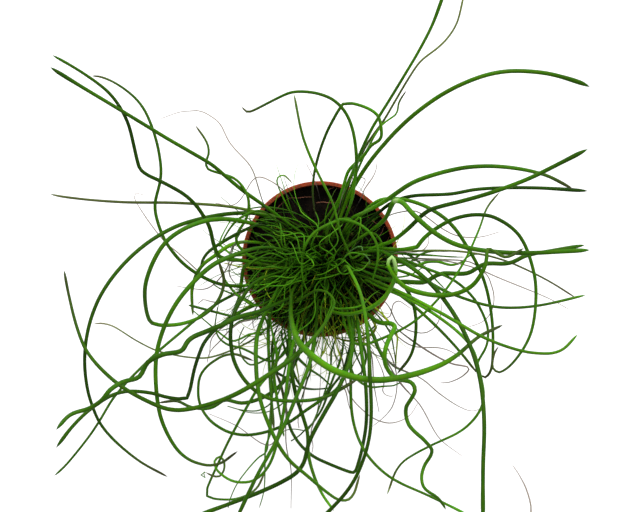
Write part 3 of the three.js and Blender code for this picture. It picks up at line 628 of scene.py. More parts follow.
class Bundle:
    """Round strands gathered in one piece.

    The mesh carries the share of the way to the tip as "along", each strand's brightness as
    "tone" (its own tone with painted shade and painted light), a "grain" map that wraps each
    strand and the "OFBake" map with a column per strand.
    """

    # Share of a column's width that stays free on either side.
    COLUMN_MARGIN = 0.05

    def __init__(self, name: str, sides: int) -> None:
        """Starts an empty bundle of strands with the given number of sides."""
        self.name = name
        self.sides = sides
        self.count = 0
        self.whole = bmesh.new()
        self.prepare(self.whole)

    @staticmethod
    def prepare(bm: bmesh.types.BMesh) -> None:
        """Adds the layers that every strand carries."""
        bm.verts.layers.float.new("along")
        bm.verts.layers.float.new("tone")
        bm.verts.layers.int.new("side")
        bm.verts.layers.int.new("strand")
        bm.loops.layers.uv.new("OFBake")
        bm.loops.layers.uv.new("grain")

    def add(self, line: Sequence[Vector], radii: Sequence[float],
            tones: Sequence[float] = (1.0,), pointed: bool = True, ripe: float = 1.0) -> None:
        """Adds one strand.

        Args:
            line: Its centreline from foot to tip, in metres.
            radii: Its radius at every point of the line.
            tones: Its brightness at even steps from foot to tip, 1 being the finish's own.
            pointed: Whether it ends in a point or in a flat end.
            ripe: How far along a whole stem its end is, 1 being the dry tip.
        """
        bm = bmesh.new()
        self.prepare(bm)
        along = bm.verts.layers.float["along"]
        tone = bm.verts.layers.float["tone"]
        side = bm.verts.layers.int["side"]
        places = ring_places(line)
        ring = bmesh.ops.create_circle(bm, cap_ends=True, segments=self.sides,
                                       radius=radii[0], matrix=places[0])["verts"]
        for number, vert in enumerate(ring):
            vert[side] = number
            vert[tone] = tones[0]
            vert[bm.verts.layers.int["strand"]] = self.count
        edges = bm.edges[:]
        last = len(line) - 1
        for k in range(1, len(line)):
            grown = bmesh.ops.extrude_edge_only(bm, edges=edges)["geom"]
            ring = [g for g in grown if isinstance(g, bmesh.types.BMVert)]
            edges = [g for g in grown if isinstance(g, bmesh.types.BMEdge) and g.is_boundary]
            move = places[k] @ Matrix.Scale(radii[k] / radii[k - 1], 4) @ places[k - 1].inverted()
            bmesh.ops.transform(bm, matrix=move, verts=ring)
            shade = between(tones, k / last)
            for vert in ring:
                vert[along] = k / last * ripe
                vert[tone] = shade
        if pointed:
            bmesh.ops.pointmerge(bm, verts=ring, merge_co=line[-1])
        else:
            bmesh.ops.contextual_create(bm, geom=edges)
        bmesh.ops.recalc_face_normals(bm, faces=bm.faces)
        self.count += 1
        mesh = bpy.data.meshes.new(self.name)
        bm.to_mesh(mesh)
        bm.free()
        self.whole.from_mesh(mesh)
        bpy.data.meshes.remove(mesh)

    def chart(self) -> None:
        """Lays out the two maps: once round each strand across, and foot to tip upwards."""
        along = self.whole.verts.layers.float["along"]
        side = self.whole.verts.layers.int["side"]
        strand = self.whole.verts.layers.int["strand"]
        bake = self.whole.loops.layers.uv["OFBake"]
        grain = self.whole.loops.layers.uv["grain"]
        for face in self.whole.faces:
            numbers = [vert[side] for vert in face.verts]
            wraps = max(numbers) == self.sides - 1 and min(numbers) == 0
            for loop in face.loops:
                number = loop.vert[side]
                if wraps and number == 0:
                    number = self.sides
                round_way = number / self.sides
                loop[grain].uv = (round_way, loop.vert[along])
                inset = self.COLUMN_MARGIN + (1 - 2 * self.COLUMN_MARGIN) * round_way
                column = loop.vert[strand] + inset
                loop[bake].uv = (column / self.count, loop.vert[along])

    def piece(self, material: bpy.types.Material) -> bpy.types.Object:
        """Finishes the bundle as one object of the given material."""
        self.chart()
        for name in ("side", "strand"):
            self.whole.verts.layers.int.remove(self.whole.verts.layers.int[name])
        return as_piece(self.whole, self.name, material)


# ---------------------------------------------------------------- the pot and what fills it


@dataclass
class PotShell:
    """The round plastic pot: tapered side, stepped rim band, foot ring, boss and drain holes."""

    base_radius: float = 43 * MM
    wall: float = 1.6 * MM
    band_height: float = 18 * MM
    band_radius: float = 58.8 * MM
    shoulder_radius: float = 55.4 * MM
    lip_inner_radius: float = 57.2 * MM
    ledge_radius: float = 56.9 * MM
    ledge_bottom: float = 90.6 * MM
    ledge_top: float = 93.1 * MM
    floor: float = 5 * MM
    foot_height: float = 3 * MM
    foot_width: float = 4 * MM
    foot_chamfer: float = 1 * MM
    boss_radius: float = 17 * MM
    channel_slope: float = 2 * MM
    rounding: float = 0.85 * MM
    rounding_steps: int = 4
    side_cuts: int = 8
    crease_degrees: float = 35
    drain_holes: int = 6
    drain_radius: float = 3.5 * MM
    drain_circle: float = 27 * MM
    drain_sides: int = 24
    drill_length: float = 15 * MM
    steps_round: int = 96

    def profile(self) -> list[tuple[float, float]]:
        """Returns half of the pot's section as pairs of radius and height, from foot to floor."""
        band_bottom = POT_HEIGHT - self.band_height
        channel = self.base_radius - self.foot_width
        return [
            (0, 0),
            (self.boss_radius, 0),
            (self.boss_radius + self.channel_slope, self.foot_height),
            (channel - self.channel_slope, self.foot_height),
            (channel, 0),
            (self.base_radius - self.foot_chamfer, 0),
            (self.base_radius, self.foot_chamfer),
            (self.shoulder_radius, band_bottom - self.wall / 2),
            (self.band_radius, band_bottom + self.wall / 2),
            (RIM_RADIUS, POT_HEIGHT),
            (self.lip_inner_radius, POT_HEIGHT),
            (self.ledge_radius, self.ledge_top),
            (self.shoulder_radius - self.wall, self.ledge_bottom),
            (self.base_radius - self.wall, self.floor),
            (0, self.floor),
        ]

    def turned(self) -> bmesh.types.BMesh:
        """Turns the rounded section once round the pot's axis."""
        bm = bmesh.new()
        verts = [bm.verts.new((x, 0, z)) for x, z in self.profile()]
        edges = [bm.edges.new(pair) for pair in zip(verts, verts[1:])]
        lip = [v for v in verts if v.co.z == POT_HEIGHT]
        bmesh.ops.bevel(bm, geom=lip, offset=self.rounding, offset_type="OFFSET",
                        segments=self.rounding_steps, profile=0.5, affect="VERTICES", material=-1)
        long_edges = [e for e in bm.edges if e.calc_length() > self.band_height]
        bmesh.ops.subdivide_edges(bm, edges=long_edges, cuts=self.side_cuts)
        bmesh.ops.spin(bm, geom=bm.verts[:] + bm.edges[:], cent=(0, 0, 0), axis=(0, 0, 1),
                       angle=math.tau, steps=self.steps_round, use_merge=True, use_duplicate=False)
        bmesh.ops.remove_doubles(bm, verts=bm.verts, dist=WELD)
        bmesh.ops.recalc_face_normals(bm, faces=bm.faces)
        return bm

    def drill(self) -> bpy.types.Object:
        """Makes the round cutters that open the drain holes."""
        bm = bmesh.new()
        for number in range(self.drain_holes):
            turn = Matrix.Rotation(math.tau * number / self.drain_holes, 4, "Z")
            place = turn @ Matrix.Translation((self.drain_circle, 0, self.floor / 2))
            bmesh.ops.create_cone(bm, cap_ends=True, segments=self.drain_sides,
                                  radius1=self.drain_radius, radius2=self.drain_radius,
                                  depth=self.drill_length, matrix=place)
        mesh = bpy.data.meshes.new("drill")
        bm.to_mesh(mesh)
        bm.free()
        cutter = bpy.data.objects.new("drill", mesh)
        bpy.context.scene.collection.objects.link(cutter)
        return cutter

    def build(self, wardrobe: Wardrobe) -> bpy.types.Object:
        """Builds the pot.

        Args:
            wardrobe: Where the material comes from.

        Returns:
            The finished piece.
        """
        piece = as_piece(self.turned(), "pot_shell", wardrobe.of(PotFinish()))
        cutter = self.drill()
        cut = piece.modifiers.new("drain_holes", "BOOLEAN")
        cut.operation = "DIFFERENCE"
        cut.solver = "EXACT"
        cut.object = cutter
        shown = piece.evaluated_get(bpy.context.evaluated_depsgraph_get())
        drilled = bpy.data.meshes.new_from_object(shown)
        piece.modifiers.clear()
        piece.data = drilled
        bpy.data.objects.remove(cutter)
        drilled.set_sharp_from_angle(angle=math.radians(self.crease_degrees))
        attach(piece, "root")
        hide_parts("pot")
        return piece


@dataclass
class PottingMix:
    """The peat in the pot: a lumpy surface with crumbs on it, over a plain root ball."""

    radius: float = 56.5 * MM
    ball_top_radius: float = 53.4 * MM
    ball_base_radius: float = 41 * MM
    ball_base: float = 5.4 * MM
    ledge_bottom: float = 91 * MM
    ledge_top: float = 93.5 * MM
    edge: float = 3 * MM
    mound: float = 1.5 * MM
    lump: float = 1.3 * MM
    coarse_lumps: float = 90
    coarse_share: float = 0.7
    fine_lumps: float = 330
    fine_share: float = 0.5
    rings: int = 26
    steps_round: int = 96
    crumbs: int = 620
    crumb_size: float = 1.0 * MM
    crumb_sizes: Span = (0.4, 1.5)
    crumb_widths: Span = (0.6, 1.0)
    crumb_heights: Span = (0.5, 0.8)
    crumb_lift: float = 0.2
    crumb_margin: float = 1.5 * MM
    crumb_noise: float = 700
    crumb_raggedness: float = 0.35
    crumb_finish: PeatFinish = PeatFinish("peat_crumbs", dark=(0.0024, 0.0018, 0.0012),
                                          brown=(0.013, 0.0072, 0.0036))
    seed: int = 11

    def lumpy(self, point: Vector) -> float:
        """Returns the height of the lumps over the smooth surface at a point."""
        coarse = noise.noise(point * self.coarse_lumps)
        fine = noise.noise(point * self.fine_lumps)
        return self.lump * (self.coarse_share * coarse + self.fine_share * fine)

    def surface(self, x: float, y: float) -> float:
        """Returns the height of the lumpy surface, which is highest in the pot's middle half."""
        away = math.hypot(x, y)
        share = clamped((self.radius - away) / self.radius * 2)
        inside = away < self.radius - self.edge
        rise = self.mound * (share - 0.5) if inside else -self.mound
        return SOIL_TOP + rise + self.lumpy(Vector((x, y, 0)))

    def body(self) -> bmesh.types.BMesh:
        """Turns the root ball and presses lumps into its top."""
        bm = bmesh.new()
        side = [
            (0, self.ball_base), (self.ball_base_radius, self.ball_base),
            (self.ball_top_radius, self.ledge_bottom), (self.radius, self.ledge_top),
            (self.radius, SOIL_TOP - self.mound), (self.radius - self.edge, SOIL_TOP),
        ]
        inner = self.radius - self.edge
        top = [(inner * (1 - k / self.rings), SOIL_TOP) for k in range(1, self.rings + 1)]
        verts = [bm.verts.new((x, 0, z)) for x, z in side + top]
        edges = [bm.edges.new(pair) for pair in zip(verts, verts[1:])]
        bmesh.ops.spin(bm, geom=verts + edges, cent=(0, 0, 0), axis=(0, 0, 1), angle=math.tau,
                       steps=self.steps_round, use_merge=True, use_duplicate=False)
        bmesh.ops.remove_doubles(bm, verts=bm.verts, dist=WELD)
        bmesh.ops.recalc_face_normals(bm, faces=bm.faces)
        for vert in bm.verts:
            if vert.co.z > SOIL_TOP - self.mound / 2:
                vert.co.z = self.surface(vert.co.x, vert.co.y)
        return bm

    def crumb_bed(self, rng: random.Random) -> bmesh.types.BMesh:
        """Strews crumbs of peat over the surface.

        Args:
            rng: Source of the draws.

        Returns:
            All the crumbs.
        """
        noise.seed_set(self.seed)  # Unseeded, noise_vector follows the clock.
        bm = bmesh.new()
        for _ in range(self.crumbs):
            away = (self.radius - self.crumb_margin) * math.sqrt(rng.random())
            turn = rng.uniform(0, math.tau)
            x, y = away * math.cos(turn), away * math.sin(turn)
            size = self.crumb_size * rng.uniform(*self.crumb_sizes)
            place = Matrix.Translation((x, y, self.surface(x, y) + size * self.crumb_lift))
            tilt = Quaternion((rng.random(), rng.random(), rng.random(), 1)).normalized()
            width = rng.uniform(*self.crumb_widths)
            squash = Matrix.Diagonal((1, width, rng.uniform(*self.crumb_heights), 1))
            lump = bmesh.ops.create_icosphere(
                bm, subdivisions=1, radius=size,
                matrix=place @ tilt.to_matrix().to_4x4() @ squash)["verts"]
            for vert in lump:
                ragged = noise.noise_vector(vert.co * self.crumb_noise)
                vert.co += ragged * size * self.crumb_raggedness
        return bm

    def build(self, wardrobe: Wardrobe) -> list[bpy.types.Object]:
        """Builds the potting mix and its crumbs.

        Args:
            wardrobe: Where the materials come from.

        Returns:
            The two finished pieces.
        """
        peat = as_piece(self.body(), "peat", wardrobe.of(PeatFinish("peat")))
        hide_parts("potting_mix")
        crumbs = as_piece(self.crumb_bed(random.Random(self.seed)), "peat_crumbs",
                          wardrobe.of(self.crumb_finish))
        for piece in (peat, crumbs):
            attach(piece, "root")
        return [peat, crumbs]


@dataclass
class RootThreads:
    """Reddish root threads that lie bare on the peat."""

    thickness: float = 0.8 * MM
    sides: int = 6
    spacing: float = 2.2 * MM
    clearance: float = 0.25 * MM
    thicknesses: Span = (0.7, 1.1)
    taper: tuple[float, ...] = (0.6, 1.0, 0.9, 0.4)
    foot_tones: Span = (0.6, 1.0)
    tip_tones: Span = (0.7, 1.2)
    seed: int = 14
    plans: tuple[tuple[PlanPoint, ...], ...] = (
        ((-37, 57), (-30, 61), (-22, 61), (-14, 62), (-6, 62)),
        ((-44, 48), (-40, 54), (-34, 58)),
        ((-4, 56), (3, 57), (10, 56), (17, 57)),
        ((5, 68), (10, 70), (16, 73)),
        ((57, 20), (62, 27), (65, 34)),
        ((60, 12), (66, 16), (70, 24)),
        ((48, 42), (54, 37), (60, 33)),
        ((-58, -8), (-62, -16), (-60, -26)),
        ((22, 60), (27, 52), (30, 44)),
    )

    def build(self, wardrobe: Wardrobe, bed: PottingMix) -> bpy.types.Object:
        """Lays the threads on the peat.

        Args:
            wardrobe: Where the material comes from.
            bed: The potting mix they lie on.

        Returns:
            The finished piece.
        """
        rng = random.Random(self.seed)
        bundle = Bundle("root_threads", self.sides)
        for plan in self.plans:
            route = smooth_route([under_eye(x, y, SOIL_TOP) for x, y in plan], self.spacing)
            radius = self.thickness / 2 * rng.uniform(*self.thicknesses)
            line = [Vector((p.x, p.y, bed.surface(p.x, p.y) + self.clearance + radius / 2))
                    for p in route]
            radii = [radius * between(self.taper, k / (len(line) - 1))
                     for k in range(len(line))]
            foot_tone = rng.uniform(*self.foot_tones)
            bundle.add(line, radii, (foot_tone, rng.uniform(*self.tip_tones)))
        piece = bundle.piece(wardrobe.of(Look.ROOT.value))
        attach(piece, "root")
        return piece


# ---------------------------------------------------------------- stems on the frame's centrelines


@dataclass
class CentreLines:
    """Reads the centrelines of the stems back from a CAD node's rings of corners."""

    sharpest: float = 1.2
    weld: float = 1e-6

    def tips(self, bm: bmesh.types.BMesh, sides: int) -> list[bmesh.types.BMVert]:
        """Finds the stem points, where few and narrow faces meet, in a fixed order."""
        found = []
        for vert in bm.verts:
            if len(vert.link_faces) != sides:
                continue
            if sum(loop.calc_angle() for loop in vert.link_loops) < self.sharpest:
                found.append(vert)
        return sorted(found, key=lambda v: tuple(v.co))

    @staticmethod
    def rings(tip: bmesh.types.BMVert, sides: int) -> list[list[bmesh.types.BMVert]]:
        """Walks from a stem's point to its foot, ring by ring.

        Args:
            tip: The corner at the stem's point.
            sides: Corners in a ring.

        Returns:
            The rings from the point on, and last whatever isn't a ring.
        """
        seen = {tip}
        rings = [[tip]]
        while len(rings) == 1 or len(rings[-1]) == sides:
            step = []
            for vert in rings[-1]:
                for edge in vert.link_edges:
                    other = edge.other_vert(vert)
                    if other not in seen:
                        seen.add(other)
                        step.append(other)
            rings.append(step)
        return rings

    def read(self, node: str, sides: int) -> tuple[list[list[Vector]], Vector, Vector]:
        """Reads the stems of a CAD node.

        Args:
            node: Name of the node.
            sides: Corners in each of its rings.

        Returns:
            The stems, each a list of (x, y, z, radius) from foot to tip, and the lowest and
            highest corner of what isn't a stem.
        """
        bm = bmesh.new()
        bm.from_mesh(frame["nodes"][node].data)
        bmesh.ops.remove_doubles(bm, verts=bm.verts, dist=self.weld)
        stems = []
        used = set()
        for tip in self.tips(bm, sides):
            *rings, rest = self.rings(tip, sides)
            knots = []
            for ring in rings:
                used.update(ring)
                centre = sum((v.co for v in ring), Vector()) / len(ring)
                reach = sum((v.co - centre).length for v in ring) / len(ring)
                knots.append(Vector((*centre, reach)))
            stems.append(knots[::-1])
        others = [v.co.copy() for v in bm.verts if v not in used]
        bm.free()
        low = Vector([min(co[k] for co in others) for k in range(3)])
        high = Vector([max(co[k] for co in others) for k in range(3)])
        return stems, low, high


@dataclass
class LongStems:
    """The long stems, each a smooth round strand on its node's centreline."""

    spacing: float = 3.2 * MM
    sides: int = 10
    tip_radius: float = 0.12 * MM
    swell: float = 0.35 * MM
    slimness: float = 0.75
    swings: Span = (0.92, 1.08)
    seed: int = 3
    looks: dict[str, Look] = field(default_factory=lambda: {
        "stem_green": Look.GREEN, "stem_lime": Look.LIME,
        "stem_dark": Look.DARK, "stem_dry": Look.STRAW,
    })
    # Brightness along each stem, foot to tip: its own tone with painted light and painted shade.
    shades: dict[str, tuple[float, ...]] = field(default_factory=lambda: {
        "dry_east": (0.8, 1.2, 2.0, 1.0, 1.2),
        "dry_ne": (0.4, 0.6, 1.5, 2.0, 1.6),
        "dry_sw": (0.6, 1.5, 2.0, 1.9, 2.2),
        "dry_west": (1.0, 1.8, 1.2, 1.05, 1.3),
        "ne_arch": (0.8, 1.4, 0.8, 0.6, 0.4),
        "ne_tall": (1.3, 2.3, 1.3, 1.0, 0.7),
        "ne_crook": (1.6, 1.7, 1.5, 2.0, 0.5),
        "north_arch": (1.1, 2.3, 1.4, 0.45, 0.8),
        "north_kink": (1.4, 2.2, 1.8, 0.45, 0.5),
        "north_loop": (0.9, 0.9, 2.0, 1.9, 1.5),
        "north_spike": (0.5, 1.5, 1.5, 1.3, 1.0),
        "nw_curl": (0.8, 1.2, 1.6, 0.9, 1.2),
        "nw_long": (0.4, 1.3, 0.8, 0.8, 0.4),
        "nw_s_bend": (0.6, 1.0, 0.35, 0.35, 0.5),
        "east_arch": (0.8, 2.4, 1.1, 0.75, 0.8),
        "east_bow": (0.2, 1.1, 0.45, 0.7, 0.8),
        "east_crossing": (1.2, 2.0, 1.25, 1.7, 1.3),
        "east_dark": (1.2, 0.4, 0.8, 0.5, 0.4),
        "east_drop": (1.2, 2.3, 0.75, 0.95, 0.8),
        "east_lime": (0.3, 0.45, 1.45, 0.7, 0.9),
        "east_low": (1.5, 1.5, 1.0, 0.6, 0.85),
        "east_ring": (0.15, 1.8, 0.45, 0.95, 0.9),
        "east_straight": (0.3, 0.5, 1.3, 1.2, 1.1, 1.0, 0.8, 0.7, 0.8),
        "east_swoop": (0.4, 0.6, 1.0, 1.3, 1.4, 1.5, 1.1, 0.85, 0.75, 0.7, 0.6),
        "east_thick": (1.1, 2.25, 0.45, 0.7, 0.45),
        "east_vertical": (0.9, 1.15, 0.55, 0.5, 0.7),
        "east_wavy": (0.4, 2.0, 1.4, 0.9, 0.85),
        "se_corkscrew": (0.8, 0.7, 2.0, 0.9, 0.9, 0.8),
        "se_return": (0.8, 2.2, 1.8, 1.1, 0.8),
        "se_slant": (0.8, 0.35, 1.1, 0.7, 0.85),
        "se_trail": (1.0, 0.8, 0.9, 0.8, 1.6),
        "south_arc": (0.5, 0.7, 0.22, 0.7, 0.9),
        "south_bright": (0.4, 0.4, 1.05, 0.95, 0.5),
        "south_cross": (0.4, 0.7, 0.85, 1.0, 0.5, 0.34, 0.36, 0.45, 0.55),
        "south_curl": (0.7, 1.6, 1.1, 1.4, 1.1),
        "south_hook": (0.7, 2.3, 0.9, 0.9, 1.1),
        "south_kink": (0.15, 1.9, 0.9, 0.75, 1.2),
        "south_left": (0.8, 0.9, 1.0, 1.0, 1.4),
        "south_lean": (1.8, 0.3, 1.0, 0.7, 0.6),
        "south_plumb": (0.9, 1.2, 2.2, 2.3, 1.9),
        "south_trail": (1.3, 1.1, 0.3, 1.1, 2.2),
        "south_vertical": (0.3, 0.3, 0.35, 1.0, 1.2, 0.85, 0.42, 0.35, 0.35, 0.4, 0.5),
        "sw_bend": (0.3, 0.8, 0.2, 0.42, 0.55),
        "sw_big": (0.4, 0.6, 0.63, 0.5, 0.55),
        "sw_ring": (0.6, 1.1, 0.5, 0.65, 0.9),
        "sw_twist": (0.4, 0.5, 0.6, 0.7, 0.6),
        "sw_wavy": (0.3, 1.0, 1.4, 1.2, 1.2),
        "west_arc_inner": (0.7, 1.5, 0.9, 1.0, 0.9),
        "west_arc_low": (0.6, 0.6, 1.1, 0.95, 0.55),
        "west_arc_outer": (0.4, 0.6, 0.55, 0.32, 0.8),
        "west_dark_long": (0.95, 1.3, 1.7, 1.3, 1.2),
        "west_thin_s": (0.6, 0.8, 0.65, 0.45, 0.9),
        "west_yellow": (0.3, 0.35, 0.4, 1.1, 1.8, 1.2, 0.6, 1.35, 1.4),
    })
    # Spots, as share along and reach, whose tone turns pale: bleaching and painted highlight.
    bleached_and_highlit: dict[str, Span] = field(default_factory=lambda: {
        "east_straight": (0.48, 0.018),
        "east_swoop": (0.553, 0.032),
        "se_return": (1.0, 0.03),
    })
    bleach_and_highlight_tone: float = 2.4
    bleach_and_highlight_at_foot: Span = (0.0, 1e-3)
    girth: dict[str, float] = field(default_factory=lambda: {
        "south_vertical": -0.42, "ne_tall": -0.3, "north_loop": -0.2, "dry_sw": -0.15,
        "ne_arch": -0.15, "ne_crook": -0.15, "east_lime": -0.12, "nw_long": -0.1,
        "se_trail": -0.1, "south_hook": -0.1, "north_kink": -0.07, "north_arch": 0.05,
        "east_drop": 0.1, "east_low": 0.1, "south_arc": 0.1, "south_curl": 0.1,
        "south_kink": 0.1, "east_bow": 0.15, "nw_s_bend": 0.15, "se_corkscrew": 0.15,
        "se_slant": 0.15, "south_cross": 0.15, "west_arc_outer": 0.15, "dry_west": 0.2,
        "east_ring": 0.2, "east_straight": 0.2, "south_left": 0.2, "south_trail": 0.2,
        "west_arc_inner": 0.2, "west_thin_s": 0.2, "sw_twist": 0.25, "east_arch": 0.3,
        "east_wavy": 0.3, "sw_big": 0.35, "sw_wavy": 0.42, "west_arc_low": 0.45,
        "west_yellow": 0.5, "east_swoop": 0.65, "south_bright": 0.9,
    })
    kinks: dict[str, PlanPoint] = field(default_factory=lambda: {
        "east_ring": (97, 12),
        "north_kink": (23, 155),
        "south_hook": (-113, -237),
        "sw_bend": (-133, -139),
        "west_arc_inner": (-168, -64),
    })
    girth_run: tuple[float, ...] = (1.0, 1.0, 1.0, 1.0, 0.3)
    kink_reach: float = 1.6 * MM
    plan_edge: PlanPoint = (257, 249)
    unripe: float = 0.86

    def kinked(self, knots: list[Vector], corner: PlanPoint) -> list[Vector]:
        """Bends a stem sharply at one plan point.

        Args:
            knots: The stem's (x, y, z, radius) knots.
            corner: The plan point of the sharp bend.

        Returns:
            The knots with the nearest one moved there and one close by on either side.
        """
        places = [(plan_steps(k.to_3d()) - Vector(corner)).length for k in knots]
        nearest = places.index(min(places))
        bend = Vector((*under_eye(*corner, knots[nearest].z), knots[nearest][3]))
        before, after = knots[nearest - 1], knots[nearest + 1]
        near = [bend.lerp(side, self.kink_reach / (side.to_3d() - bend.to_3d()).length)
                for side in (before, after)]
        return [*knots[:nearest], near[0], bend, near[1], *knots[nearest + 1:]]

    def ripeness(self, tip: Vector) -> float:
        """Returns how ripe a stem's end is: those that run past the plan's edge stay green."""
        place = plan_steps(tip.to_3d())
        past = abs(place.x) > self.plan_edge[0] or abs(place.y) > self.plan_edge[1]
        return self.unripe if past else 1.0

    def radii(self, name: str, route: Sequence[Vector]) -> list[float]:
        """Works out a stem's radius at every point: slim in the crown, full beyond the rim.

        Args:
            name: The stem's name.
            route: Its (x, y, z, radius) points.

        Returns:
            The radii.
        """
        extra = self.girth.get(name, 0.0) * MM
        radii = []
        for k, point in enumerate(route):
            full = beyond_rim(point, FILLING_OUT)
            gain = self.swell + extra * between(self.girth_run, k / len(route))
            slim = self.slimness + (1 - self.slimness) * full
            radii.append(max(point[3] * slim + gain * full, self.tip_radius))
        return radii

    def tones(self, name: str, line: Sequence[Vector], swing: float) -> list[float]:
        """Works out a stem's brightness at every point.

        Args:
            name: The stem's name.
            line: Its centreline.
            swing: Factor for the whole stem.

        Returns:
            Its brightness there, from shades that are partly its own tone and partly painted light,
            turned pale at the marked bend by bleaching and painted highlight, or else only at the
            foot under the peat, and with painted shade in the crown.
        """
        own = self.shades[name]
        centre, reach = self.bleached_and_highlit.get(name, self.bleach_and_highlight_at_foot)
        tones = []
        for k, point in enumerate(line):
            share = k / (len(line) - 1)
            bleach_and_highlight = self.bleach_and_highlight_tone * math.exp(-((share - centre) / reach) ** 2)
            tones.append((between(own, share) * swing + bleach_and_highlight) * shade_at(point))
        return tones

    def build(self, wardrobe: Wardrobe) -> list[bpy.types.Object]:
        """Builds a piece for every long stem.

        Args:
            wardrobe: Where the materials come from.

        Returns:
            The finished pieces.
        """
        rng = random.Random(self.seed)
        reader = CentreLines()
        slots = {part["node"]: part["material_slot"] for part in frame["record"]["subparts"]}
        pieces = []
        for node in nodes_named("stem_"):
            stems, _, _ = reader.read(node, STEM_CORNERS)
            name = node.removeprefix("stem_")
            knots = stems[0]
            if name in self.kinks:
                knots = self.kinked(knots, self.kinks[name])
            route = smooth_route(knots, self.spacing)
            bundle = Bundle("rush_" + name, self.sides)
            radii = self.radii(name, route)
            line = [p.to_3d() for p in route]
            tones = self.tones(name, line, rng.uniform(*self.swings))
            bundle.add(line, radii, tones, ripe=self.ripeness(knots[-1]))
            piece = bundle.piece(wardrobe.of(self.looks[slots[node]].value))
            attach(piece, "root")
            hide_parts(node)
            pieces.append(piece)
        return pieces


@dataclass
class Sheaths:
    """Papery brown sheaths that wrap the foot of every long stem and close round it."""

    height: float = 9 * MM
    clearance: float = 0.25 * MM
    sides: int = 10
    spacing: float = 2 * MM
    mouth_share: float = 0.9
    heights: Span = (0.8, 1.4)
    taper: tuple[float, ...] = (1.15, 1.1, 1.0, 0.95)
    foot_tone: float = 0.5
    mouth_tones: Span = (0.4, 0.9)
    seed: int = 17

    def build(self, wardrobe: Wardrobe) -> bpy.types.Object:
        """Wraps the feet of the long stems.

        Args:
            wardrobe: Where the material comes from.

        Returns:
            The finished piece.
        """
        rng = random.Random(self.seed)
        reader = CentreLines()
        bundle = Bundle("foot_sheaths", self.sides)
        for node in nodes_named("stem_"):
            stems, _, _ = reader.read(node, STEM_CORNERS)
            route = smooth_route(stems[0], self.spacing)
            height = self.height * rng.uniform(*self.heights)
            count = round((height + SOIL_TOP - route[0].z) / self.spacing)
            low = [p.to_3d() for p in route[:count]]
            full = route[0][3] + self.clearance
            radii = [full * between(self.taper, k / (count - 1)) for k in range(count - 1)]
            radii.append(route[count - 1][3] * self.mouth_share)
            tones = (self.foot_tone, rng.uniform(*self.mouth_tones))
            bundle.add(low, radii, tones, pointed=False)
        piece = bundle.piece(wardrobe.of(Look.SHEATH.value))
        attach(piece, "root")
        return piece


@dataclass
class YoungTufts:
    """Tufts of young stems, each springing from a knuckle of the rhizome."""

    spacing: float = 2.6 * MM
    sides: int = 8
    tip_radius: float = 0.1 * MM
    slimness: float = 0.8
    tones: Span = (0.95, 1.75)
    knuckle_rings: int = 3
    knuckle_end: float = 0.05
    knuckle_tone: float = 0.5
    seed: int = 5

    def build(self, wardrobe: Wardrobe) -> list[bpy.types.Object]:
        """Builds a piece for every tuft.

        Args:
            wardrobe: Where the materials come from.

        Returns:
            The finished pieces.
        """
        rng = random.Random(self.seed)
        reader = CentreLines()
        pieces = []
        for node in nodes_named("tuft_"):
            stems, low, high = reader.read(node, TUFT_CORNERS)
            knuckle = (low + high) / 2
            bundle = Bundle("young_" + node, self.sides)
            for knots in stems:
                foot = Vector((*knuckle, knots[0][3]))
                route = smooth_route([foot, *knots], self.spacing)
                radii = [max(p[3] * self.slimness, self.tip_radius) for p in route]
                line = [p.to_3d() for p in route]
                own = rng.uniform(*self.tones)
                bundle.add(line, radii, [own * shade_at(point) for point in line])
            size = (high - low) / 2
            last = self.knuckle_rings
            spine = []
            swell = []
            for k in range(-last, last + 1):
                spine.append(knuckle + Vector((0, 0, size.z * k / last)))
                bulge = max(self.knuckle_end, math.sqrt(1 - (k / last) ** 2))
                swell.append(bulge * min(size.x, size.y))
            bundle.add(spine, swell, (self.knuckle_tone,))
            piece = bundle.piece(wardrobe.of(Look.YOUNG_SHADED.value))
            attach(piece, "root")
            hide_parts(node)
            pieces.append(piece)
        return pieces


# ---------------------------------------------------------------- growth the frame leaves out


@dataclass(frozen=True)
class Shoot:
    """A young stem that rises from the crown, bends over and curls.

    It also swings from side to side by a sine of wave_turn radians over its length, which starts
    at wave_start times its heading.
    """

    foot: Vector
    heading: float
    length: float
    rise: float
    droop: float
    curl: float
    curl_growth: float
    wave: float
    wave_turn: float = 11
    wave_start: float = 7
    fewest_steps: int = 6
    clearance: float = 1.5 * MM
    floor_clearance: float = 12 * MM
    rim_zone: Span = (RIM_RADIUS - 6 * MM, RIM_RADIUS + 3 * MM)

    def grow(self, step: float) -> list[Vector]:
        """Follows the shoot from its foot to its tip.

        Args:
            step: Distance between the points in metres.

        Returns:
            The centreline.
        """
        point = self.foot.copy()
        line = [point.copy()]
        turn = self.heading
        count = max(self.fewest_steps, round(self.length / step))
        for k in range(count):
            share = (k + 0.5) / count
            slope = self.rise + (self.droop - self.rise) * eased(share)
            turn += (self.curl + self.curl_growth * share) * step
            phase = share * self.wave_turn + self.heading * self.wave_start
            turn += self.wave * math.sin(phase) * step
            level = math.cos(slope)
            point += Vector((level * math.cos(turn), level * math.sin(turn),
                             math.sin(slope))) * step
            point.z = max(point.z, self.ground(point))
            line.append(point.copy())
        return line

    def ground(self, point: Vector) -> float:
        """Returns the lowest height a stem may have at a point: over peat, rim and floor."""
        away = math.hypot(point.x, point.y)
        if away < self.rim_zone[0]:
            return SOIL_TOP + self.clearance
        if away < self.rim_zone[1]:
            return POT_HEIGHT + self.clearance
        return self.floor_clearance


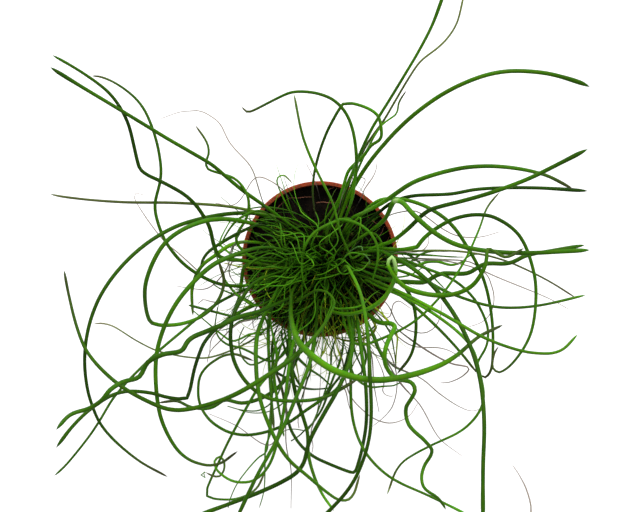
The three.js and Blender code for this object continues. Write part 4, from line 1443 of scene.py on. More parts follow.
@dataclass(frozen=True)
class Patch:
    """A part of the thicket: how many shoots it has, where they head and how they grow.

    Angles are in degrees. Length and thickness are in millimetres.
    """

    name: str
    look: Look
    count: int
    heading: float
    spread: float
    length: Span
    rise: Span
    droop: Span
    curl: float
    thickness: Span
    tones: Span = (0.5, 1.8)
    slot: str = "stem_dark"
    push: float = 0.3
    seed: int = 1
    crown_radius: float = 30 * MM
    foot_depth: float = 2 * MM
    curl_gain: float = 2
    waves: Span = (0, 4)

    def shoots(self, rng: random.Random) -> list[Shoot]:
        """Draws the patch's shoots.

        Args:
            rng: Source of the draws.

        Returns:
            The shoots.
        """
        drawn = []
        for _ in range(self.count):
            heading = math.radians(self.heading + rng.gauss(0, 1) * self.spread)
            away = self.crown_radius * math.sqrt(rng.random())
            round_way = rng.uniform(0, math.tau)
            push = self.push * self.crown_radius
            foot = Vector((
                CROWN_CENTRE.x + away * math.cos(round_way) + push * math.cos(heading),
                CROWN_CENTRE.y + away * math.sin(round_way) + push * math.sin(heading),
                SOIL_TOP - self.foot_depth,
            ))
            drawn.append(Shoot(
                foot=foot,
                heading=heading,
                length=rng.uniform(*self.length) * MM,
                rise=math.radians(rng.uniform(*self.rise)),
                droop=math.radians(rng.uniform(*self.droop)),
                curl=rng.uniform(-1, 1) * self.curl,
                curl_growth=rng.uniform(-1, 1) * self.curl * self.curl_gain,
                wave=rng.uniform(*self.waves),
            ))
        return drawn


@dataclass
class Thicket:
    """The crowd of young stems in the crown and those that hang over the pot's near side."""

    spacing: float = 2.8 * MM
    growth_step: float = 5.6 * MM
    sides: int = 6
    tip_share: float = 0.25
    taper_power: float = 1.5
    # The highest tones turn strands pale as painted highlight.
    patches: tuple[Patch, ...] = (
        Patch("thicket_west", Look.YOUNG_SHADED, 27, 184, 22, (50, 85), (35, 65), (-28, 4), 14,
              (0.95, 1.6), (0.4, 2.5), push=0.1, seed=21),
        Patch("thicket_west_cross", Look.YOUNG_SHADED, 18, 205, 46, (50, 85), (25, 60), (-15, 8), 15,
              (0.85, 1.3), push=0.5, seed=29),
        Patch("thicket_net", Look.YOUNG_SHADED, 34, 195, 52, (52, 90), (50, 76), (-16, 6), 18,
              (0.85, 1.35), (0.5, 2.6), push=0.35, seed=31),
        Patch("thicket_southwest", Look.YOUNG_SHADED, 28, 225, 30, (38, 75), (35, 70), (-28, 5), 22,
              (0.8, 1.25), (0.5, 2.1), push=0.3, seed=22),
        Patch("thicket_south", Look.YOUNG_SHADED, 34, 268, 40, (16, 32), (40, 75), (-30, 5), 26,
              (0.4, 0.7), push=0.3, seed=23),
        Patch("thicket_round", Look.GREEN, 12, 205, 50, (50, 90), (40, 75), (-15, 15), 24,
              (0.8, 1.2), (0.8, 2.0), slot="stem_green", push=0.1, seed=24),
        Patch("thicket_over", Look.GREEN, 8, 205, 45, (60, 100), (50, 75), (-25, 10), 30,
              (0.8, 1.2), (0.9, 2.0), slot="stem_green", push=0.0, seed=30),
        Patch("thicket_east", Look.YOUNG_SHADED, 34, -25, 34, (26, 48), (40, 75), (-25, 5), 28,
              (0.6, 0.9), (0.9, 2.4), push=0.4, seed=25),
        Patch("thicket_northeast", Look.YOUNG_SHADED, 14, 38, 20, (30, 56), (40, 70), (-20, 5), 26,
              (0.6, 1.0), (0.9, 2.2), push=0.4, seed=34),
        Patch("thicket_thatch", Look.OLIVE, 60, 268, 55, (16, 34), (25, 60), (-15, 5), 26,
              (0.4, 0.65), (0.5, 1.6), slot="stem_dry", push=0.6, seed=26),
        Patch("thicket_hairs", Look.OLIVE, 40, 90, 120, (14, 34), (10, 45), (-5, 10), 14,
              (0.4, 0.7), slot="stem_dry", push=0.0, seed=33),
        # The fringe's high tones are painted light against the shade on the pot's near side.
        Patch("rim_fringe_lime", Look.OLIVE, 18, 272, 28, (70, 105), (40, 65), (-80, -40), 26,
              (0.8, 1.2), (1.4, 2.6), slot="stem_lime", push=0.8, seed=27),
        Patch("rim_fringe_pale", Look.OLIVE, 30, 274, 24, (62, 92), (40, 62), (-88, -50), 34,
              (0.7, 1.1), (1.8, 3.3), slot="stem_lime", push=0.9, seed=32),
    )

    def build(self, wardrobe: Wardrobe) -> list[bpy.types.Object]:
        """Builds a piece for every patch.

        Args:
            wardrobe: Where the materials come from.

        Returns:
            The finished pieces.
        """
        pieces = []
        for patch in self.patches:
            rng = random.Random(patch.seed)
            bundle = Bundle(patch.name, self.sides)
            for shoot in patch.shoots(rng):
                line = smooth_route(shoot.grow(self.growth_step), self.spacing)
                thick = rng.uniform(*patch.thickness) * MM / 2
                thinning = [(k / (len(line) - 1)) ** self.taper_power for k in range(len(line))]
                radii = [thick * (1 - (1 - self.tip_share) * share) for share in thinning]
                own = rng.uniform(*patch.tones)
                bundle.add(line, radii, [own * shade_at(point) for point in line])
            piece = bundle.piece(wardrobe.of(patch.look.value))
            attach(piece, "root")
            pieces.append(piece)
        return pieces


@dataclass(frozen=True)
class Sprig:
    """One extra stem or wisp: its look, thickness, heights along it and its plan route.

    Thickness and heights are in millimetres.
    """

    look: Look
    thickness: float
    heights: tuple[float, ...]
    plan: tuple[PlanPoint, ...]
    rooted: bool = True
    tip: float = 0.5

    # Shares of the thickness along it, which the tip's own share follows.
    SLENDER_FOOT: ClassVar[tuple[float, ...]] = (0.3, 0.7, 1.0, 0.9)
    FULL_FOOT: ClassVar[tuple[float, ...]] = (1.0, 1.0, 0.9)

    # How ripe a stem is at its end when it is still green there, and what dims it in the pot.
    GREEN_END: ClassVar[float] = 0.88
    DIM_WISP: ClassVar[float] = 0.06
    DIM_FRINGE: ClassVar[float] = 0.18
    DIM_STEM: ClassVar[float] = 0.5

    # The foot stands this share of the way out to the route, or this many plan steps if less.
    ROOT_SHARE: ClassVar[float] = 0.6
    ROOT_STEPS: ClassVar[float] = 26

    # A hidden run starts to fill out at this share of its length and takes this share to do it.
    EMERGING_FROM: ClassVar[float] = 0.75
    EMERGING_OVER: ClassVar[float] = 0.35

    # Plan steps between the points of a drawn route, and how many of them make one knot.
    ROUTE_STEP: ClassVar[float] = 1.0
    STEPS_PER_KNOT: ClassVar[int] = 6

    @property
    def girth(self) -> tuple[float, ...]:
        """Shares of the thickness from foot to tip: wisps are slender at the foot."""
        slender = self.look is Look.WISP and self.rooted
        return (*(self.SLENDER_FOOT if slender else self.FULL_FOOT), self.tip)

    @property
    def ripeness(self) -> float:
        """How ripe the end is: only wisps and olive stems are dry there."""
        return 1.0 if self.look in (Look.WISP, Look.OLIVE) else self.GREEN_END

    @property
    def leaves_pot(self) -> bool:
        """Whether the route ends beyond the rim."""
        return Vector(self.plan[-1]).length > PLAN_STEPS_PER_RIM

    @property
    def near_side(self) -> bool:
        """Whether it hangs over the pot's near side, in the fringe."""
        x, y = self.plan[0]
        return y < -abs(x)

    @property
    def filling_out(self) -> Span:
        """Shares of the rim's radius between which it fills out: later in the fringe."""
        return FRINGE_FILLING_OUT if self.near_side else FILLING_OUT

    @property
    def dimness(self) -> float:
        """Share of its brightness left inside the rim: a stem that leaves the pot is shaded."""
        if not self.leaves_pot:
            return 1.0
        if self.look is Look.WISP:
            return self.DIM_WISP
        return self.DIM_FRINGE if self.near_side else self.DIM_STEM

    def tones(self, line: Sequence[Vector], own: float) -> list[float]:
        """Returns the brightness along the line: its own, with painted shade in the crown and rim.
        """
        dim = self.dimness
        return [own * shade_at(point) * (dim + (1 - dim) * beyond_rim(point)) for point in line]

    def rooted_plan(self) -> list[Vector]:
        """Returns the plan route, begun at a foot in the crown when the sprig is rooted."""
        plan = [Vector(p) for p in self.plan]
        if self.rooted:
            middle = CROWN_CENTRE * (PLAN_STEPS_PER_RIM / RIM_RADIUS)
            outward = plan[0] - middle
            reach = min(self.ROOT_SHARE, self.ROOT_STEPS / outward.length)
            plan.insert(0, middle + outward * reach)
        return plan

    def fullness(self, share: float) -> float:
        """Returns the share of its thickness that a sprig has at a share of the way along.

        Args:
            share: Place along it, 0 to 1.

        Returns:
            Less than 1 where it runs out from the crown under other growth.
        """
        plan = self.rooted_plan()
        if not self.rooted or Vector(self.plan[0]).length < PLAN_STEPS_PER_RIM:
            return 1.0
        runs = [(b - a).length for a, b in zip(plan, plan[1:])]
        start = runs[0] / sum(runs)
        grown = clamped((share / start - self.EMERGING_FROM) / self.EMERGING_OVER)
        return HIDDEN_RUN + (1 - HIDDEN_RUN) * grown

    def line(self, spacing: float) -> list[Vector]:
        """Raises the plan route to its heights and roots it in the crown.

        Args:
            spacing: Distance between the points in metres.

        Returns:
            The centreline from the foot to the tip.
        """
        plan = self.rooted_plan()
        flat = smooth_route([p.to_3d() for p in plan], self.ROUTE_STEP)
        total = len(flat) - 1
        picks = range(0, total + 1, self.STEPS_PER_KNOT)
        knots = [self.raised(flat[k], k / total) for k in picks]
        knots.append(self.raised(flat[total], 1.0))
        return smooth_route(knots, spacing)

    def raised(self, point: Vector, share: float) -> Vector:
        """Returns the point on its height at a share of the way along."""
        return under_eye(point.x, point.y, between(self.heights, share) * MM)


@dataclass
class Sprigs:
    """Single extra stems and the dry grey wisps round the plant, gathered by look."""

    spacing: float = 3.0 * MM
    sides: int = 6
    swell: float = 0.18 * MM
    slimness: float = 0.33
    swell_inside: float = 0.5
    thin: float = 1.7
    thin_tone: float = 1.5
    own_tones: Span = (0.9, 1.3)
    seed: int = 9
    stems: tuple[Sprig, ...] = (
        Sprig(Look.DARK, 2.6, (97, 160, 175, 165, 150),
              ((-58, 34), (-73, 30), (-108, 10), (-115, 3), (-120, -7)), tip=0.8),
        Sprig(Look.GREEN, 1.9, (97, 165, 180, 170),
              ((-58, 48), (-80, 41), (-89, 32), (-101, 12))),
        Sprig(Look.DARK, 1.9, (97, 140, 150, 140), ((-65, -58), (-77, -59), (-132, -46)),
              tip=0.95),
        Sprig(Look.GREEN, 2.0, OVER_RIM,
              ((35, -118), (40, -123), (45, -126), (50, -128), (58, -128), (65, -127), (72, -127),
               (80, -124))),
        Sprig(Look.GREEN, 1.5, (97, 135, 140, 125, 110),
              ((-58, -73), (-70, -75), (-80, -80), (-88, -82), (-95, -78), (-130, -49))),
        Sprig(Look.GREEN, 2.4, (97, 160, 165, 150, 130),
              ((-48, -51), (-43, -99), (-46, -111), (-45, -126), (-36, -178))),
        Sprig(Look.GREEN, 1.4, (97, 150, 140, 110, 80, 60),
              ((-40, -90), (-52, -181), (-54, -193), (-62, -199), (-83, -225), (-91, -244),
               (-92, -250))),
        Sprig(Look.DARK, 1.4, (97, 150, 140, 115, 90),
              ((-44, -85), (-50, -176), (-54, -186), (-56, -231), (-61, -250))),
        Sprig(Look.GREEN, 2.0, (97, 165, 175, 165, 150, 130),
              ((70, 2), (105, -9), (135, -22), (155, -41), (167, -66), (168, -78), (166, -88),
               (158, -103), (156, -113)), tip=0.9),
        Sprig(Look.GREEN, 2.2, (97, 140, 145, 140, 135),
              ((60, -3), (85, -4), (95, -7), (107, -3), (120, -3), (130, -6), (142, -3), (150, 4),
               (160, 5))),
        Sprig(Look.DARK, 1.3, (97, 135, 130, 120), ((50, 6), (80, 5), (140, 2))),
        Sprig(Look.DARK, 1.3, (97, 130, 125, 115), ((50, 2), (80, 1), (140, -1))),
        Sprig(Look.GREEN, 1.3, (97, 130, 130, 125), ((50, -18), (80, -18), (90, -16), (108, -5))),
        Sprig(Look.GREEN, 2.2, (150, 162, 168, 168, 160),
              ((8, 30), (18, 39), (30, 38), (42, 33), (51, 25), (57, 14), (58, 1), (52, -23))),
        Sprig(Look.LIME, 1.7, (150, 158, 160, 156, 150),
              ((44, 24), (51, 27), (58, 22), (62, 14), (61, 5), (57, -1))),
        Sprig(Look.GREEN, 2.3, (104, 150, 164, 162, 152, 140),
              ((32, 38), (25, 40), (5, 33), (-7, 25), (-15, 13), (-18, -3), (-17, -21),
               (-12, -34))),
        Sprig(Look.GREEN, 1.8, (104, 128, 132, 126, 122),
              ((10, 25), (0, 31), (-15, 41), (-30, 48), (-58, 52), (-72, 50))),
        Sprig(Look.GREEN, 1.1, (104, 150, 154, 146), ((40, 42), (40, 31), (37, 19), (31, 9))),
        Sprig(Look.GREEN, 0.8, (104, 150, 158, 150), ((25, -1), (12, -10), (0, -16), (-4, -16))),
        Sprig(Look.GREEN, 1.0, (104, 148, 154, 148), ((26, -11), (12, -17), (-8, -21))),
        Sprig(Look.LIME, 1.9, (104, 150, 162, 160, 154),
              ((-8, 29), (-24, 34), (-31, 39), (-43, 42), (-58, 45), (-77, 46), (-84, 43))),
        Sprig(Look.GREEN, 1.3, (104, 150, 158, 150),
              ((-14, 6), (-12, 1), (-6, -3), (-8, -9), (-15, -11))),
        Sprig(Look.PALE, 0.8, (140, 146, 148, 144),
              ((41, 13), (43, 6), (47, 2), (50, -3), (48, -8))),
        Sprig(Look.GREEN, 1.5, (104, 146, 152, 146, 138),
              ((13, -48), (30, -49), (42, -46), (52, -36), (60, -31))),
        Sprig(Look.GREEN, 0.8, (132, 131, 130),
              ((-115, -213), (-118, -213), (-119, -216), (-117, -219), (-114, -218),
               (-114, -215), (-116, -215)), rooted=False),
        Sprig(Look.DARK, 1.2, (97, 150, 145, 130, 115),
              ((-30, -92), (-44, -138), (-60, -151), (-78, -151), (-93, -147))),
        Sprig(Look.DARK, 1.0, (97, 150, 145, 130, 115),
              ((-26, -96), (-34, -140), (-50, -152), (-66, -154), (-82, -151))),
        Sprig(Look.GREEN, 3.6, MIDDLE,
              ((-58, 1), (-68, -3), (-74, -6), (-77, -11), (-78, -18), (-79, -26), (-80, -33),
               (-82, -41), (-86, -49))),
        Sprig(Look.GREEN, 1.8, MIDDLE,
              ((-62, -47), (-70, -45), (-77, -40), (-84, -35), (-90, -28), (-95, -21), (-98, -13),
               (-101, -4), (-104, 4), (-107, 11))),
        Sprig(Look.OLIVE, 1.5, OVER_RIM, ((-62, -10), (-76, -8), (-84, -7), (-91, -5), (-97, -4))),
        Sprig(Look.DARK, 1.6, OVER_RIM,
              ((-62, -47), (-71, -42), (-79, -38), (-87, -35), (-95, -32), (-101, -29),
               (-107, -25))),
        Sprig(Look.DARK, 1.7, MIDDLE,
              ((-30, -87), (-46, -102), (-57, -100), (-66, -95), (-74, -91), (-82, -88), (-89, -87),
               (-95, -84), (-100, -80), (-103, -75), (-105, -67), (-104, -59), (-103, -52),
               (-101, -44))),
        Sprig(Look.DARK, 1.4, MIDDLE,
              ((-40, -87), (-52, -99), (-64, -105), (-69, -106), (-74, -103), (-78, -98),
               (-80, -92), (-81, -86), (-81, -80), (-79, -74), (-76, -68))),
        Sprig(Look.DARK, 1.3, OVER_RIM,
              ((-48, -67), (-56, -70), (-64, -73), (-71, -77), (-77, -82), (-82, -87))),
        Sprig(Look.DARK, 1.3, OVER_RIM,
              ((-58, -59), (-68, -60), (-76, -61), (-82, -63), (-87, -67), (-92, -70), (-97, -71),
               (-101, -72))),
        Sprig(Look.GREEN, 1.6, OVER_RIM,
              ((-58, 7), (-74, 4), (-88, 4), (-93, 8), (-97, 11), (-100, 13), (-100, 18), (-98, 23),
               (-95, 29), (-91, 36), (-87, 41))),
        Sprig(Look.DARK, 1.2, OVER_RIM,
              ((-58, 37), (-68, 33), (-77, 29), (-81, 24), (-84, 18), (-87, 10), (-89, 2))),
        Sprig(Look.GREEN, 1.9, OVER_RIM,
              ((72, 11), (82, 7), (89, 4), (95, 0), (100, -4), (105, -9), (111, -15), (116, -21),
               (121, -26), (126, -31))),
        Sprig(Look.DARK, 1.5, OVER_RIM,
              ((78, -7), (87, -5), (93, -1), (98, 3), (104, 6), (113, 8), (125, 8), (136, 8),
               (148, 7), (158, 5))),
        Sprig(Look.DARK, 1.3, OVER_RIM,
              ((68, 7), (80, 6), (93, 5), (108, 4), (120, 3), (132, 2), (147, 2))),
        Sprig(Look.GREEN, 2.5, MIDDLE,
              ((46, -59), (51, -71), (55, -82), (59, -91), (63, -99), (66, -106), (71, -113),
               (77, -118))),
        Sprig(Look.DARK, 1.3, MIDDLE, ((60, -59), (71, -76), (73, -86), (75, -98), (76, -111))),
        Sprig(Look.OLIVE, 1.4, MIDDLE, ((64, -57), (77, -76), (77, -86), (76, -98), (76, -109))),
        Sprig(Look.DARK, 1.4, HANGING,
              ((52, -71), (61, -93), (66, -99), (72, -106), (78, -110), (86, -113), (92, -116))),
        Sprig(Look.OLIVE, 2.2, OVER_RIM,
              ((56, -69), (50, -76), (42, -80), (30, -82), (20, -80), (11, -76))),
        Sprig(Look.LIME, 2.0, OVER_RIM, ((56, -63), (48, -73), (39, -78), (28, -79), (18, -78))),
        Sprig(Look.DARK, 1.7, MIDDLE,
              ((24, -53), (32, -79), (34, -89), (37, -98), (40, -105), (42, -111), (41, -117))),
        Sprig(Look.OLIVE, 1.3, MIDDLE,
              ((42, -67), (44, -81), (42, -89), (38, -97), (34, -104), (32, -109))),
        Sprig(Look.GREEN, 2.2, MIDDLE,
              ((30, -53), (40, -79), (44, -89), (46, -99), (44, -108), (41, -114), (35, -117))),
        Sprig(Look.OLIVE, 2.5, MIDDLE, ((12, -59), (16, -79), (13, -87), (11, -96), (11, -106))),
        Sprig(Look.OLIVE, 1.8, MIDDLE, ((2, -57), (1, -77), (-1, -85), (-4, -93))),
        Sprig(Look.OLIVE, 1.6, OVER_RIM, ((-4, -63), (-3, -75), (-2, -82), (-5, -89))),
        Sprig(Look.OLIVE, 1.2, MIDDLE, ((2, -61), (6, -78), (8, -85), (11, -91), (9, -97))),
        Sprig(Look.DARK, 1.2, MIDDLE, ((10, -63), (14, -91), (17, -99), (21, -105))),
        Sprig(Look.OLIVE, 1.2, MIDDLE, ((6, -61), (16, -81), (19, -92), (22, -99), (24, -105))),
        Sprig(Look.DARK, 2.0, MIDDLE,
              ((-26, -57), (-30, -79), (-32, -87), (-36, -92), (-40, -98), (-44, -105),
               (-48, -113))),
        Sprig(Look.DARK, 2.2, HANGING,
              ((-44, -71), (-48, -93), (-44, -113), (-37, -117), (-30, -122), (-22, -128),
               (-13, -130))),
        Sprig(Look.DARK, 2.2, MIDDLE,
              ((-32, -67), (-27, -91), (-22, -99), (-16, -105), (-9, -111), (0, -117), (8, -124),
               (13, -129))),
        Sprig(Look.DARK, 2.2, HANGING,
              ((-38, -71), (-30, -103), (-19, -127), (-10, -130), (0, -130), (9, -129))),
        Sprig(Look.GREEN, 1.7, HANGING,
              ((18, -62), (22, -76), (23, -88), (21, -98), (18, -108), (14, -117), (10, -127),
               (2, -140), (-9, -148), (-18, -154), (-27, -161), (-34, -166))),
        Sprig(Look.DARK, 2.2, MIDDLE,
              ((-35, -61), (-32, -89), (-30, -103), (-29, -114), (-26, -125), (-23, -135))),
        Sprig(Look.DARK, 1.8, HANGING,
              ((-14, -81), (-9, -107), (-10, -114), (-13, -121), (-15, -129), (-17, -135),
               (-19, -142))),
        Sprig(Look.OLIVE, 1.3, HANGING,
              ((-24, -81), (-24, -101), (-23, -109), (-21, -120), (-21, -128))),
        Sprig(Look.OLIVE, 1.3, HANGING,
              ((-20, -77), (-20, -91), (-24, -103), (-27, -111), (-28, -117))),
        Sprig(Look.DARK, 1.7, HANGING,
              ((26, -59), (30, -76), (30, -87), (28, -95), (26, -103), (22, -114), (10, -131),
               (2, -150), (-3, -158), (-8, -165), (-14, -170), (-20, -176), (-24, -179),
               (-29, -182))),
        Sprig(Look.DARK, 1.2, HANGING,
              ((14, -70), (15, -80), (12, -90), (11, -104), (8, -122), (2, -141), (-8, -165),
               (-14, -172), (-19, -171), (-24, -170), (-29, -171), (-34, -170), (-37, -174))),
        Sprig(Look.OLIVE, 1.1, MIDDLE, ((9, -70), (9, -76), (6, -84), (3, -93), (-1, -99))),
        Sprig(Look.OLIVE, 1.2, MIDDLE, ((14, -72), (16, -86), (20, -97), (23, -103), (24, -110))),
        Sprig(Look.OLIVE, 1.6, MIDDLE,
              ((-18, -61), (-16, -75), (-16, -83), (-20, -91), (-23, -98))),
        Sprig(Look.LIME, 1.8, MIDDLE, ((-8, -59), (-7, -75), (-9, -83), (-12, -91))),
        Sprig(Look.GREEN, 2.0, MIDDLE,
              ((-56, -51), (-52, -66), (-51, -79), (-51, -93), (-52, -107))),
        Sprig(Look.OLIVE, 1.7, MIDDLE, ((-42, -59), (-36, -71), (-34, -79), (-30, -86))),
    )
    wisps: tuple[Sprig, ...] = (
        Sprig(Look.WISP, 0.6, (97, 165, 200, 190, 170, 150),
              ((-50, 44), (-57, 57), (-67, 88), (-72, 96), (-90, 116), (-100, 135), (-108, 142),
               (-120, 148), (-129, 148), (-140, 147), (-160, 140))),
        Sprig(Look.WISP, 0.7, (97, 112, 118, 122, 126, 130),
              ((-62, -26), (-80, -26), (-100, -25), (-115, -19), (-121, -13), (-144, 8),
               (-154, 16), (-177, 46), (-186, 63), (-184, 66), (-174, 63))),
        Sprig(Look.WISP, 0.6, (97, 150, 155), ((0, 60), (-7, 82), (-14, 96))),
        Sprig(Look.WISP, 0.6, (97, 150, 165, 155, 140),
              ((-30, 60), (-43, 74), (-60, 82), (-66, 80), (-80, 59), (-87, 54), (-105, 56))),
        Sprig(Look.WISP, 0.6, (97, 150, 130, 100, 70),
              ((-28, -100), (-34, -183), (-29, -211), (-29, -250))),
        Sprig(Look.WISP, 0.7, (97, 160, 150, 130, 100),
              ((90, -2), (150, -3), (164, -12), (230, -40), (250, -51))),
        Sprig(Look.WISP, 0.7, (97, 155, 165, 150, 135, 125),
              ((110, 0), (165, -14), (171, -25), (174, -38), (172, -51), (165, -61), (155, -66),
               (148, -68))),
        Sprig(Look.WISP, 0.7, (97, 150, 160, 150, 145),
              ((60, 38), (73, 45), (95, 48), (105, 43), (123, 30), (138, 23), (160, 22),
               (182, 28))),
        Sprig(Look.WISP, 0.7, (97, 130, 135, 130),
              ((70, 5), (80, 7), (101, 8), (107, 13), (109, 19), (108, 26))),
        Sprig(Look.WISP, 0.7, (97, 135, 120, 90, 60),
              ((53, -94), (65, -99), (75, -107), (102, -120), (120, -135), (140, -148),
               (152, -152), (160, -150))),
        Sprig(Look.WISP, 0.7, (97, 140, 120, 90, 60),
              ((60, -90), (80, -124), (100, -146), (115, -173), (122, -182), (142, -197))),
        Sprig(Look.WISP, 0.7, (97, 135, 110, 85, 70),
              ((22, -100), (30, -136), (45, -153), (55, -160), (68, -164), (80, -162), (90, -156),
               (98, -144))),
        Sprig(Look.WISP, 0.7, (97, 135, 115, 90),
              ((68, -90), (77, -121), (73, -146), (66, -156), (52, -168))),
        Sprig(Look.WISP, 1.2, (97, 145, 140, 120, 110),
              ((90, -80), (130, -104), (149, -109), (144, -116), (130, -123), (118, -124))),
        Sprig(Look.WISP, 0.7, (97, 130, 125, 110),
              ((77, -77), (93, -87), (120, -89), (130, -92), (140, -98))),
        Sprig(Look.WISP, 0.7, (97, 125, 128, 115), ((68, -59), (74, -44), (78, -42), (93, -51))),
        Sprig(Look.WISP, 0.7, (97, 130, 135, 140, 135),
              ((66, -44), (79, -66), (100, -74), (110, -72), (117, -65), (121, -54),
               (121, -43))),
        Sprig(Look.WISP, 0.7, (97, 140, 145, 130),
              ((-84, 16), (-93, -9), (-107, -26), (-115, -30), (-125, -30), (-144, -27))),
        Sprig(Look.WISP, 0.7, (97, 140, 155, 160),
              ((42, 63), (44, 69), (54, 84), (57, 94), (57, 101))),
        Sprig(Look.WISP, 0.7, (97, 140, 150, 130), ((30, 79), (45, 80), (38, 64))),
        Sprig(Look.WISP, 0.7, (97, 140, 110, 80), ((50, -90), (54, -126), (59, -153))),
        Sprig(Look.WISP, 0.6, (97, 150, 130, 100, 80),
              ((-25, -100), (-36, -150), (-50, -186), (-85, -166), (-113, -154))),
        Sprig(Look.WISP, 1.0, OVER_RIM,
              ((-58, -33), (-70, -31), (-77, -34), (-85, -36), (-90, -38), (-96, -41), (-102, -43),
               (-108, -43), (-114, -41), (-119, -41), (-122, -45))),
        Sprig(Look.WISP, 0.9, OVER_RIM,
              ((-58, -55), (-70, -61), (-79, -63), (-85, -67), (-90, -71), (-94, -75), (-98, -80),
               (-106, -88), (-110, -93), (-112, -99), (-113, -105))),
        Sprig(Look.WISP, 0.8, OVER_RIM,
              ((-68, -55), (-80, -59), (-92, -65), (-104, -74), (-109, -81), (-110, -90),
               (-111, -98))),
        Sprig(Look.WISP, 0.9, OVER_RIM, ((-64, -49), (-67, -59), (-67, -66), (-65, -72))),
        Sprig(Look.WISP, 1.0, OVER_RIM,
              ((-76, -3), (-88, -3), (-91, -11), (-90, -17), (-87, -22), (-83, -26))),
        Sprig(Look.WISP, 0.9, HANGING, ((-18, -145), (-21, -155), (-22, -162), (-21, -169))),
        Sprig(Look.WISP, 0.9, HANGING,
              ((-2, -149), (-9, -173), (-8, -181), (-7, -187), (-8, -194))),
        Sprig(Look.WISP, 0.9, HANGING,
              ((64, -117), (63, -133), (66, -136), (70, -138), (74, -136))),
        Sprig(Look.WISP, 0.9, HANGING, ((76, -117), (82, -125), (86, -130), (90, -134))),
        Sprig(Look.WISP, 0.9, HANGING, ((20, -121), (26, -133), (28, -143), (30, -150))),
        Sprig(Look.WISP, 0.9, (274, 268, 256, 245),
              ((163, -263), (168, -272), (185, -277), (203, -270), (211, -253), (207, -232),
               (198, -214), (191, -204)), rooted=False),
    )

    def gather(self, name: str, sprigs: Sequence[Sprig], wardrobe: Wardrobe,
               rng: random.Random) -> bpy.types.Object:
        """Builds one piece of sprigs that share a look.

        Args:
            name: Name of the piece.
            sprigs: The sprigs in it.
            wardrobe: Where the material comes from.
            rng: Source of the draws.

        Returns:
            The finished piece.
        """
        bundle = Bundle(name, self.sides)
        for sprig in sprigs:
            line = sprig.line(self.spacing)
            thick = sprig.thickness * MM / 2
            radii = []
            for k, point in enumerate(line):
                full = self.swell_inside
                slim = 1.0
                if sprig.leaves_pot:
                    full = beyond_rim(point, sprig.filling_out)
                    slim = self.slimness + (1 - self.slimness) * full
                place = k / (len(line) - 1)
                share = between(sprig.girth, place) * sprig.fullness(place)
                radii.append((thick * slim + self.swell * full) * share)
            lift = self.thin_tone if sprig.thickness < self.thin else 1
            own = rng.uniform(*self.own_tones) * lift
            bundle.add(line, radii, sprig.tones(line, own), ripe=sprig.ripeness)
        piece = bundle.piece(wardrobe.of(sprigs[0].look.value))
        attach(piece, "root")
        return piece

    def build(self, wardrobe: Wardrobe) -> list[bpy.types.Object]:
        """Builds the extra stems, one piece for each look, and the wisps.

        Args:
            wardrobe: Where the materials come from.

        Returns:
            The finished pieces.
        """
        rng = random.Random(self.seed)
        slots = {Look.GREEN: "stem_green", Look.DARK: "stem_dark", Look.LIME: "stem_lime",
                 Look.PALE: "stem_lime", Look.OLIVE: "stem_lime"}
        pieces = []
        for look, slot in slots.items():
            same = [s for s in self.stems if s.look is look]
            name = "extra_stems_" + look.name.lower()
            pieces.append(self.gather(name, same, wardrobe, rng))
        pieces.append(self.gather("grey_wisps", self.wisps, wardrobe, rng))
        return pieces


# ---------------------------------------------------------------- studio


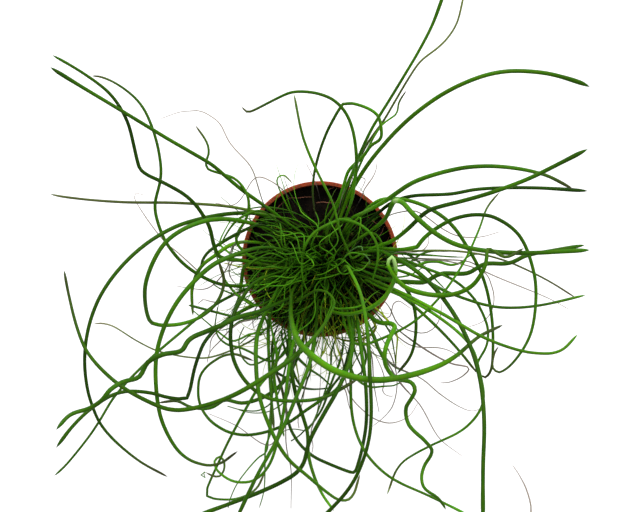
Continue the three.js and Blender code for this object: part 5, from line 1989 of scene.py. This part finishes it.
@dataclass
class Studio:
    """Pale floor, soft light and the camera straight over the pot."""

    floor_size: float = 6.0
    sensor: float = 36.0
    frame_steps: int = 640
    centre_shift_steps: float = 3.0
    bright_way: Triple = (0.12, 0.72, 0.68)
    dim_from: float = -0.2
    dim_glow: float = 0.7
    bright_glow: float = 2.6
    lamp_power: float = 60.0
    lamp_size: float = 1.0
    lamp_place: Triple = (0.35, 1.7, 1.3)
    lamp_aim: Triple = (0, 0, 0.12)
    near_clip: float = 0.05
    floor_cells: int = 8

    def floor(self, wardrobe: Wardrobe) -> bpy.types.Object:
        """Lays the floor.

        Args:
            wardrobe: Where the material comes from.

        Returns:
            The floor.
        """
        bm = bmesh.new()
        bmesh.ops.create_grid(bm, x_segments=self.floor_cells, y_segments=self.floor_cells,
                              size=self.floor_size / 2)
        piece = as_piece(bm, "pale_floor", wardrobe.of(PaleFloor()))
        return piece

    def lights(self) -> None:
        """Sets the white surroundings and one large soft light behind the pot."""
        world = bpy.data.worlds.new("studio")
        world.use_nodes = True
        nodes, links = world.node_tree.nodes, world.node_tree.links
        way = nodes.new("ShaderNodeTexCoord")
        facing = nodes.new("ShaderNodeVectorMath")
        facing.operation = "DOT_PRODUCT"
        facing.inputs[1].default_value = self.bright_way
        glow = nodes.new("ShaderNodeMapRange")
        glow.inputs["From Min"].default_value = self.dim_from
        glow.inputs["From Max"].default_value = 1.0
        glow.inputs["To Min"].default_value = self.dim_glow
        glow.inputs["To Max"].default_value = self.bright_glow
        surround = nodes["Background"]
        surround.inputs["Color"].default_value = (1.0, 1.0, 1.0, 1.0)
        links.new(way.outputs["Generated"], facing.inputs[0])
        links.new(facing.outputs["Value"], glow.inputs["Value"])
        links.new(glow.outputs["Result"], surround.inputs["Strength"])
        bpy.context.scene.world = world
        lamp = bpy.data.lights.new("soft_light", "AREA")
        lamp.shape = "SQUARE"
        lamp.size = self.lamp_size
        lamp.energy = self.lamp_power
        holder = bpy.data.objects.new("soft_light", lamp)
        holder.location = self.lamp_place
        aim = Vector(self.lamp_aim) - holder.location
        holder.rotation_euler = aim.to_track_quat("-Z", "Y").to_euler()
        bpy.context.scene.collection.objects.link(holder)

    def camera(self) -> None:
        """Hangs the camera at the eye point, looking straight down."""
        width = self.frame_steps * RIM_RADIUS / PLAN_STEPS_PER_RIM
        lens = bpy.data.cameras.new("overhead")
        lens.sensor_width = self.sensor
        lens.lens = self.sensor * (EYE_HEIGHT - POT_HEIGHT) / width
        lens.shift_y = self.centre_shift_steps / self.frame_steps
        lens.clip_start = self.near_clip
        holder = bpy.data.objects.new("overhead", lens)
        holder.location = (0, 0, EYE_HEIGHT)
        bpy.context.scene.collection.objects.link(holder)
        bpy.context.scene.camera = holder

    def build(self, wardrobe: Wardrobe) -> None:
        """Sets up the floor, lights, camera and plain colour handling."""
        self.floor(wardrobe)
        self.lights()
        self.camera()
        bpy.context.scene.view_settings.view_transform = "Standard"


def report(name: str, pieces: Sequence[bpy.types.Object]) -> None:
    """Logs what a sub-assembly is made of."""
    faces = sum(len(piece.data.polygons) for piece in pieces)
    log.info("%s: %d pieces, %d faces", name, len(pieces), faces)


def main() -> None:
    """Builds the pot, the plant and the studio round the frame."""
    logging.basicConfig(level=logging.INFO)
    wardrobe = Wardrobe()
    Studio().build(wardrobe)
    report("pot", [PotShell().build(wardrobe)])
    bed = PottingMix()
    report("potting mix", bed.build(wardrobe))
    report("root threads", [RootThreads().build(wardrobe, bed)])
    report("long stems", LongStems().build(wardrobe))
    report("sheaths", [Sheaths().build(wardrobe)])
    report("young tufts", YoungTufts().build(wardrobe))
    report("thicket", Thicket().build(wardrobe))
    report("extra stems and wisps", Sprigs().build(wardrobe))


if __name__ == "__main__":
    main()
